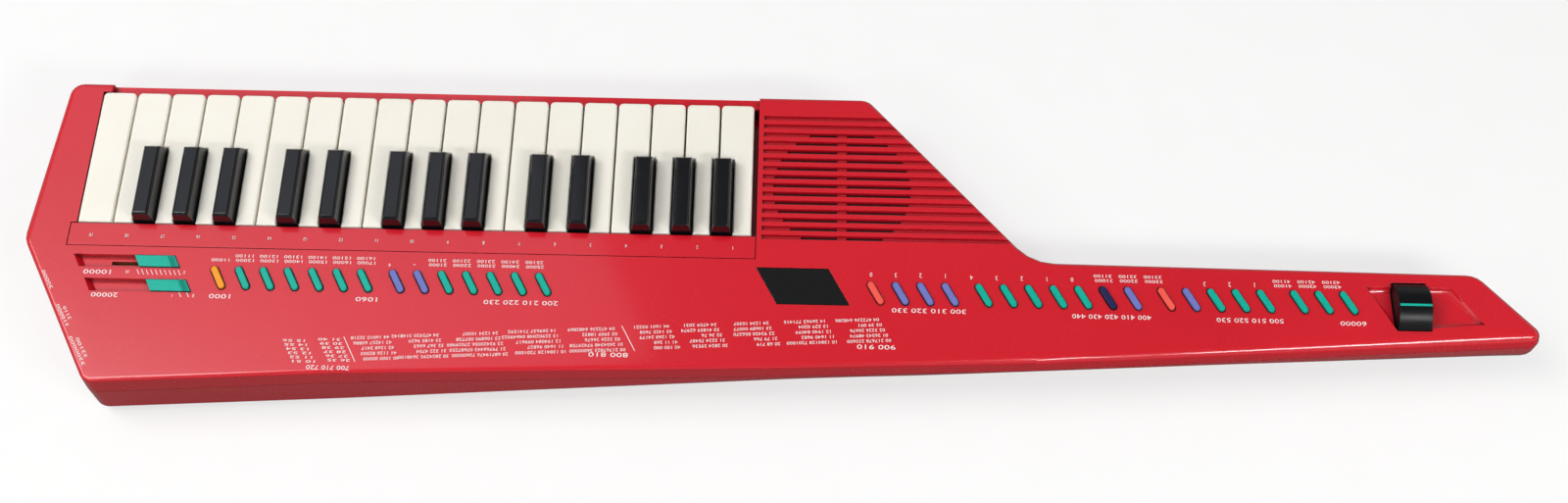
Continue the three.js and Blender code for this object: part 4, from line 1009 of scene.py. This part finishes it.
    def heading_figures(self) -> Iterator[Figure]:
        """Lists the headings, the sockets' labels, the sliders' end marks and the keys' numbers.

        Yields:
            Each figure.
        """
        for text, along, across, breadth in self.headings:
            yield Figure(text, along, across, self.heading_height, breadth=breadth)
        for text, along, across, breadth in self.socket_labels:
            yield Figure(text, along, across, self.socket_height, self.socket_slope, breadth=breadth)
        yield from self.slide_ends
        for key in range(self.keys):
            yield self.key_number._replace(text=str(self.keys - key),
                                           along=self.key_number.along + self.key_pitch * key)

    def list_figures(self) -> Iterator[Figure]:
        """Lists the rows of the long list and of the small block beside it.

        Yields:
            Each figure, one for a row of a column.
        """
        for along, across, first, lengths in self.list_columns:
            for row, length in enumerate(lengths):
                near = self.list_pitch * row
                value = first - row
                digits = str((value + self.digit_base) ** self.digit_power)[:length]
                text = f"{value:02d} {digits[:length // 2]} {digits[length // 2:]}"
                yield Figure(text, along + lean_shift(near), across - near, self.list_height, self.list_slope,
                             Anchor.START, self.letter_pitch * (length + self.lead_letters))
        for row in range(self.pair_rows):
            near = self.pair_pitch * row
            for along, across, first, second in self.pair_columns:
                yield Figure(f"{first - row} {second - row}", along + lean_shift(near), across - near,
                             self.pair_height, breadth=self.pair_breadth)

    def strokes(self) -> Iterator[Stroke]:
        """Lists the tick marks and the dividers.

        Yields:
            Each stroke.
        """
        for place in range(self.ticks):
            yield self.tick._replace(along=self.tick.along + self.tick_pitch * place)
        yield from self.dividers

    def write(self, mesh: bmesh.types.BMesh, figure: Figure) -> None:
        """Adds one number, turned half round and tilted by its slope.

        Args:
            mesh: Where it is built.
            figure: The number.
        """
        curve = bpy.data.curves.new("number", "FONT")
        curve.body = figure.text
        curve.align_x = figure.anchor.value
        curve.align_y = "CENTER"
        curve.size = figure.height * self.point * MM
        curve.extrude = self.thickness * MM / 2
        curve.resolution_u = 2
        holder = bpy.data.objects.new("number", curve)
        flat = bpy.data.meshes.new_from_object(holder)
        narrow = self.narrow
        if figure.breadth:
            ends = [vertex.co.x for vertex in flat.vertices]
            narrow = figure.breadth * MM / (max(ends) - min(ends))
        place = self.layout.point(figure.along, figure.across, self.lift + self.thickness / 2)
        flat.transform(Matrix.Translation(place) @ Matrix.Rotation(math.pi + figure.slope, 4, "Z")
                       @ Matrix.Diagonal((narrow, 1, 1, 1)))
        mesh.from_mesh(flat)
        bpy.data.objects.remove(holder)
        bpy.data.curves.remove(curve)
        bpy.data.meshes.remove(flat)

    def draw(self, mesh: bmesh.types.BMesh, stroke: Stroke) -> None:
        """Adds one slanted stroke.

        Args:
            mesh: Where it is built.
            stroke: The stroke.
        """
        left, right = stroke.along, stroke.along + stroke.length
        near = stroke.across - stroke.width
        shift = lean_shift(stroke.width)
        corners = ((left, stroke.across), (left + shift, near), (right + shift, near), (right, stroke.across))
        plate(mesh, [self.layout.point(x, y, self.lift) for x, y in corners], self.thickness * MM)

    def build(self) -> None:
        """Writes all the printing as one piece."""
        mesh = bmesh.new()
        for group in (self.button_figures(), self.heading_figures(), self.list_figures()):
            for figure in group:
                self.write(mesh, figure)
        for stroke in self.strokes():
            self.draw(mesh, stroke)
        self.workshop.publish(mesh, "panel_printing", self.finishes.ink, CASE, Slot.IVORY, smooth=False,
                              turned=True)


@dataclass
class WheelMark(Piece):
    """The teal line let into the top of the pitch wheel, parallel to its axle."""

    along: float = 673.0
    across: float = -32.4
    axle_up: float = -7.6
    radius: float = 14.8
    proud: float = 0.12
    depth: float = 0.6
    width: float = 16.0
    breadth: float = 1.3
    steps: int = 6
    lean: float = math.radians(8)
    edge: float = 0.12
    sharp: float = math.radians(60)

    def build(self) -> None:
        """Bends a thin bar over the wheel's rim."""
        mesh = bmesh.new()
        outer = self.radius + self.proud
        half = self.breadth / 2 / self.radius
        low, high = (Vector((-self.width / 2, 0, level)) * MM for level in (outer - self.depth, outer))
        side = Vector((self.width * MM, 0, 0))
        face = mesh.faces.new([mesh.verts.new(spot) for spot in (low, high, high + side, low + side)])
        bmesh.ops.rotate(mesh, verts=mesh.verts, matrix=Matrix.Rotation(self.lean - half, 3, "X"))
        bmesh.ops.spin(mesh, geom=[face, *face.edges, *face.verts], cent=(0, 0, 0), axis=(1, 0, 0),
                       angle=2 * half, steps=self.steps)
        bmesh.ops.recalc_face_normals(mesh, faces=mesh.faces)
        rims = [edge for edge in mesh.edges if edge.calc_face_angle(0.0) > self.sharp]
        bmesh.ops.bevel(mesh, geom=rims, offset=self.edge * MM, affect="EDGES", segments=2, profile=0.5,
                        material=-1)
        stand(mesh, mesh.verts, self.layout.point(self.along, self.across, self.axle_up))
        self.workshop.publish(mesh, "wheel_line", self.finishes.by_slot[Slot.TEAL], "bend_wheel", Slot.TEAL,
                              turned=True)


@dataclass
class Grille(Piece):
    """The black cloth that shows through the grille."""

    along: float = 387.7
    across: float = 28.4
    up: float = -2.66
    radius: float = 35.9
    thickness: float = 0.1

    def build(self) -> None:
        """Makes the cloth disc behind the slots."""
        mesh = bmesh.new()
        bmesh.ops.create_circle(mesh, cap_ends=True, segments=64, radius=self.radius * MM)
        bmesh.ops.solidify(mesh, geom=list(mesh.faces), thickness=self.thickness * MM)
        stand(mesh, mesh.verts, self.layout.point(self.along, self.across, self.up))
        self.workshop.publish(mesh, "grille_cloth", self.finishes.cloth, CASE, turned=True)


@dataclass
class Screws(Piece):
    """The cross-headed screws in their bores under the case, seated below the line where its halves part."""

    head: float = 2.5
    dome: float = 0.9
    shank: float = 1.4
    shank_length: float = 5.0
    shank_middle: float = 2.4
    slot_half: float = 0.35
    slot_reach: float = 1.5
    slot_depth: float = 0.6
    facing_down: float = -0.3
    turn_step: float = 0.7
    heel_end: float = -25.9
    length: float = 770.3
    parting_heel: float = 13.0
    parting_tip: float = 6.5
    seat_depth: float = 3.0
    places: tuple[tuple[float, float], ...] = (
        (-12.9, 72.3), (-12.95, -4.85), (30.7, -71.8), (204, -62.2), (354.8, 73.4), (354.8, -62.2),
        (522.8, -54.6), (718.3, -37.55))

    def seat(self, along: float) -> float:
        """How high the head's flat underside lies, from the panel."""
        share = (along - self.heel_end) / self.length
        return -(self.parting_heel + (self.parting_tip - self.parting_heel) * share) - self.seat_depth

    def cut_cross(self, mesh: bmesh.types.BMesh) -> None:
        """Sinks a cross into the head.

        Args:
            mesh: The half dome of the head, round side down.
        """
        for reach, axis in ((self.slot_half, Vector((0, 1, 0))), (self.slot_reach, Vector((1, 0, 0)))):
            for turn in (0, math.pi / 2):
                way = Matrix.Rotation(turn, 3, "Z") @ axis
                for side in (-reach, reach):
                    bmesh.ops.bisect_plane(mesh, geom=[*mesh.verts, *mesh.edges, *mesh.faces],
                                           plane_co=way * (side * MM), plane_no=way)
        cross = []
        for face in mesh.faces:
            spot = face.calc_center_median() / MM
            short, long = sorted((abs(spot.x), abs(spot.y)))
            inside = short < self.slot_half and long < self.slot_reach
            if inside and face.normal.z < self.facing_down:
                cross.append(face)
        sunk = bmesh.ops.extrude_face_region(mesh, geom=cross)
        floor = [item for item in sunk["geom"] if isinstance(item, bmesh.types.BMVert)]
        bmesh.ops.translate(mesh, vec=(0, 0, self.slot_depth * MM), verts=floor)
        bmesh.ops.delete(mesh, geom=cross, context="FACES")

    def one(self) -> bmesh.types.BMesh:
        """Shapes one screw, head down, its seat at the origin.

        Returns:
            The screw.
        """
        mesh = bmesh.new()
        bmesh.ops.create_uvsphere(mesh, u_segments=32, v_segments=16, radius=self.head * MM)
        bmesh.ops.bisect_plane(mesh, geom=[*mesh.verts, *mesh.edges, *mesh.faces], plane_co=(0, 0, 0),
                               plane_no=(0, 0, 1), clear_outer=True)
        rim = [edge for edge in mesh.edges if edge.is_boundary]
        bmesh.ops.holes_fill(mesh, edges=rim, sides=64)
        bmesh.ops.scale(mesh, vec=(1, 1, self.dome / self.head), verts=mesh.verts)
        self.cut_cross(mesh)
        shank = bmesh.ops.create_cone(mesh, cap_ends=True, segments=24, radius1=self.shank * MM,
                                      radius2=self.shank * MM, depth=self.shank_length * MM)
        bmesh.ops.translate(mesh, vec=(0, 0, self.shank_middle * MM), verts=shank["verts"])
        return mesh

    def build(self) -> None:
        """Puts one screw in each bore, each turned a little further than the one before."""
        whole = bmesh.new()
        for index, (along, across) in enumerate(self.places):
            screw = self.one()
            stand(screw, screw.verts, self.layout.point(along, across, self.seat(along)),
                  Matrix.Rotation(self.turn_step * index, 3, "Z"))
            add_mesh(whole, screw)
        self.workshop.publish(whole, "case_screws", self.finishes.by_slot[Slot.STEEL], CASE, Slot.STEEL)


@dataclass
class BatteryContacts(Piece):
    """A spring and a plate for each row of cells, at the two ends of the battery bay."""

    ends: tuple[float, float] = (62.0, 170.0)
    rows: tuple[float, ...] = (1.7, 17.0, 32.3)
    up: float = -26.2
    wire: float = 0.35
    coil: float = 3.6
    reach: float = 2.9
    turns: int = 3
    turn_steps: int = 24
    plate_side: float = 9.0
    plate_thickness: float = 0.35
    dimple_radius: float = 2.4
    dimple_height: float = 0.6

    def spring(self, mesh: bmesh.types.BMesh) -> None:
        """Winds a closed coil of wire about X, from the wall outwards.

        Args:
            mesh: An empty bmesh.
        """
        ring = bmesh.ops.create_circle(mesh, cap_ends=True, segments=8, radius=self.wire * MM)
        for axis in ("Y", "Z"):
            bmesh.ops.rotate(mesh, verts=ring["verts"], matrix=Matrix.Rotation(math.pi / 2, 3, axis))
        bmesh.ops.translate(mesh, vec=(0, 0, self.coil * MM), verts=ring["verts"])
        steps = self.turns * self.turn_steps
        bmesh.ops.spin(mesh, geom=[*mesh.faces, *mesh.edges, *mesh.verts], cent=(0, 0, 0), axis=(1, 0, 0),
                       dvec=Vector((self.reach - 2 * self.wire, 0, 0)) * MM / steps,
                       angle=math.tau * self.turns, steps=steps)
        bmesh.ops.translate(mesh, vec=Vector((self.wire + self.plate_thickness, 0, 0)) * MM, verts=mesh.verts)

    def contact_plate(self, mesh: bmesh.types.BMesh) -> None:
        """Shapes a sheet-metal plate with a pressed dimple, facing along X.

        Args:
            mesh: An empty bmesh.
        """
        grid = bmesh.ops.create_grid(mesh, x_segments=9, y_segments=9, size=self.plate_side / 2 * MM)
        bmesh.ops.rotate(mesh, verts=grid["verts"], matrix=Matrix.Rotation(math.pi / 2, 3, "Y"))
        for vert in grid["verts"]:
            far = math.hypot(vert.co.y, vert.co.z) / (self.dimple_radius * MM)
            vert.co.x = self.dimple_height * MM * max(0.0, 1 - far * far)
        bmesh.ops.solidify(mesh, geom=list(mesh.faces), thickness=self.plate_thickness * MM)
        bmesh.ops.translate(mesh, vec=(self.plate_thickness * MM, 0, 0), verts=mesh.verts)

    def build(self) -> None:
        """Fits every spring and plate, turned about from row to row."""
        whole = bmesh.new()
        for index, across in enumerate(self.rows):
            for end, along in enumerate(self.ends):
                part = bmesh.new()
                self.contact_plate(part)
                if (index + end) % 2 == 0:
                    coil = bmesh.new()
                    self.spring(coil)
                    bmesh.ops.recalc_face_normals(coil, faces=coil.faces)
                    add_mesh(part, coil)
                bmesh.ops.recalc_face_normals(part, faces=part.faces)
                turn = Matrix.Rotation(math.pi * end, 3, "Z")
                stand(part, part.verts, self.layout.point(along, across, self.up), turn)
                add_mesh(whole, part)
        self.workshop.publish(whole, "battery_contacts", self.finishes.by_slot[Slot.STEEL], CASE, Slot.STEEL)


class Lamp(NamedTuple):
    """A soft rectangular lamp: its place, the point it faces, its sides in metres, its watts and tint."""

    name: str
    place: Triple
    aim: Triple
    size: tuple[float, float]
    power: float
    tint: Triple = (1.0, 1.0, 1.0)


@dataclass
class Studio:
    """The camera, the pale floor and soft light.

    The camera's place is in the layout's millimetres and its tilt in degrees. The wall's top and the
    ceiling's start are heights on a sky of radius one.
    """

    layout: Layout
    lens: float = 43.3
    sensor: float = 36.0
    nearest: float = 0.01
    place: Triple = (354.38, -437.59, 851.43)
    tilt: Triple = (-0.54, 26.74, 1.68)
    floor_half: float = 6.0
    floor_gap: float = 0.5 * MM
    floor_pale: str = "f8f7f6"
    floor_fleck: str = "f1f0ee"
    floor_dim: str = "4c4a49"
    flecks: Noise = Noise(40, 3)
    white_share: float = 0.6
    mirrored_share: float = 0.08
    wall_top: float = 0.12
    wall_light: float = 1.0
    ceiling_start: float = 0.45
    ceiling_light: float = 0.24
    lamps: tuple[Lamp, ...] = (
        Lamp("far_left_softbox", (-0.72, 0.8, 1.6), (-0.3, 0.0, 0.0), (0.85, 0.8), 1.6, (0.86, 0.9, 1.0)),
        Lamp("key", (-1.3, 0.1, 1.9), (0.0, 0.0, 0.0), (1.2, 1.2), 30.5),
        Lamp("tip_highlight", (0.66, -0.64, 0.75), (0.31, -0.05, 0.03), (0.34, 0.14), 4.2),
        Lamp("heel_highlight", (-0.72, -0.64, 0.75), (-0.31, -0.08, 0.03), (0.16, 0.24), 2.0),
        Lamp("root_highlight", (0.35, -0.64, 0.75), (0.16, -0.06, 0.03), (0.08, 0.16), 0.9))

    def camera(self) -> None:
        """Stands the camera where the photograph was taken from."""
        data = bpy.data.cameras.new("camera")
        data.lens = self.lens
        data.sensor_width = self.sensor
        data.sensor_fit = "HORIZONTAL"
        data.clip_start = self.nearest
        camera = bpy.data.objects.new("camera", data)
        roll, pitch, swing = (math.radians(angle) for angle in self.tilt)
        turn = Matrix.Rotation(roll, 4, "Z") @ Matrix.Rotation(pitch, 4, "X") @ Matrix.Rotation(swing, 4, "Z")
        camera.matrix_world = Matrix.Translation(self.layout.point(*self.place)) @ turn
        bpy.context.scene.collection.objects.link(camera)
        bpy.context.scene.camera = camera

    def hang(self, lamp: Lamp) -> None:
        """Hangs one lamp.

        Args:
            lamp: The lamp.
        """
        data = bpy.data.lights.new(lamp.name, "AREA")
        data.shape = "RECTANGLE"
        data.size, data.size_y = lamp.size
        data.energy = lamp.power
        data.color = lamp.tint
        holder = bpy.data.objects.new(lamp.name, data)
        way = Vector(lamp.aim) - Vector(lamp.place)
        turn = way.to_track_quat("-Z", "Y").to_matrix().to_4x4()
        holder.matrix_world = Matrix.Translation(lamp.place) @ turn
        bpy.context.scene.collection.objects.link(holder)

    def seen(self, tree: Tree) -> Socket:
        """Finds how far a ray shows the background: fully to the camera or through a clear piece.

        Args:
            tree: The floor's tree.

        Returns:
            One for such a ray, and a small share for a mirrored one.
        """
        path = tree.node("LightPath").outputs
        mirrored = tree.maths("MULTIPLY", path["Is Glossy Ray"], self.mirrored_share)
        shown = tree.maths("MAXIMUM", path["Is Camera Ray"], path["Is Transmission Ray"])
        return tree.maths("MAXIMUM", shown, mirrored)

    def floor(self) -> None:
        """Lays the floor just under the object."""
        mesh = bmesh.new()
        bmesh.ops.create_grid(mesh, x_segments=1, y_segments=1, size=self.floor_half)
        low = min(corner[2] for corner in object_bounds())
        bmesh.ops.translate(mesh, vec=(0, 0, low - self.floor_gap), verts=mesh.verts)
        data = bpy.data.meshes.new("floor")
        mesh.to_mesh(data)
        mesh.free()
        tree = Tree("pale_floor")
        seen = self.seen(tree)
        pale = tree.mix(tree.noise(self.flecks), linear(self.floor_pale), linear(self.floor_fleck))
        colour = tree.mix(seen, linear(self.floor_dim), pale)
        lit = tree.node("BsdfDiffuse", {"Color": colour}).outputs[0]
        white = tree.node("Emission", {"Color": WHITE, "Strength": 1.0}).outputs[0]
        share = tree.maths("MULTIPLY", seen, self.white_share)
        both = tree.node("MixShader", {0: share, 1: lit, 2: white}).outputs[0]
        tree.node("OutputMaterial", {"Surface": both})
        data.materials.append(tree.material)
        floor = bpy.data.objects.new("floor", data)
        bpy.context.scene.collection.objects.link(floor)
        floor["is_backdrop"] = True

    def world(self) -> None:
        """Surrounds the scene with a plain studio: white walls that dim towards a darker ceiling."""
        world = bpy.data.worlds.new("studio")
        world.use_nodes = True
        nodes, links = world.node_tree.nodes, world.node_tree.links
        nodes.clear()
        way, split, height, room, out = (nodes.new("ShaderNode" + kind) for kind in (
            "TexCoord", "SeparateXYZ", "MapRange", "Background", "OutputWorld"))
        for key, entry in (("From Min", self.wall_top), ("From Max", self.ceiling_start),
                           ("To Min", self.wall_light), ("To Max", self.ceiling_light)):
            height.inputs[key].default_value = entry
        links.new(way.outputs["Generated"], split.inputs[0])
        links.new(split.outputs["Z"], height.inputs["Value"])
        links.new(height.outputs["Result"], room.inputs["Strength"])
        links.new(room.outputs[0], out.inputs["Surface"])
        bpy.context.scene.world = world

    def build(self) -> None:
        """Sets the whole studio up."""
        bpy.context.scene.view_settings.view_transform = "Standard"
        self.camera()
        self.floor()
        self.world()
        for lamp in self.lamps:
            self.hang(lamp)


def main() -> None:
    """Builds the whole scene in order."""
    logging.basicConfig(level=logging.INFO, format="%(name)s: %(message)s")
    layout = Layout.from_frame()
    finishes = Finishes()
    smoothing = Smoothing()
    workshop = Workshop(smoothing)
    FrameDresser(finishes, smoothing).dress()
    for piece in (Printing, WheelMark, Grille, Screws, BatteryContacts):
        piece(layout, workshop, finishes).build()
    Studio(layout).build()


if __name__ == "__main__":
    main()
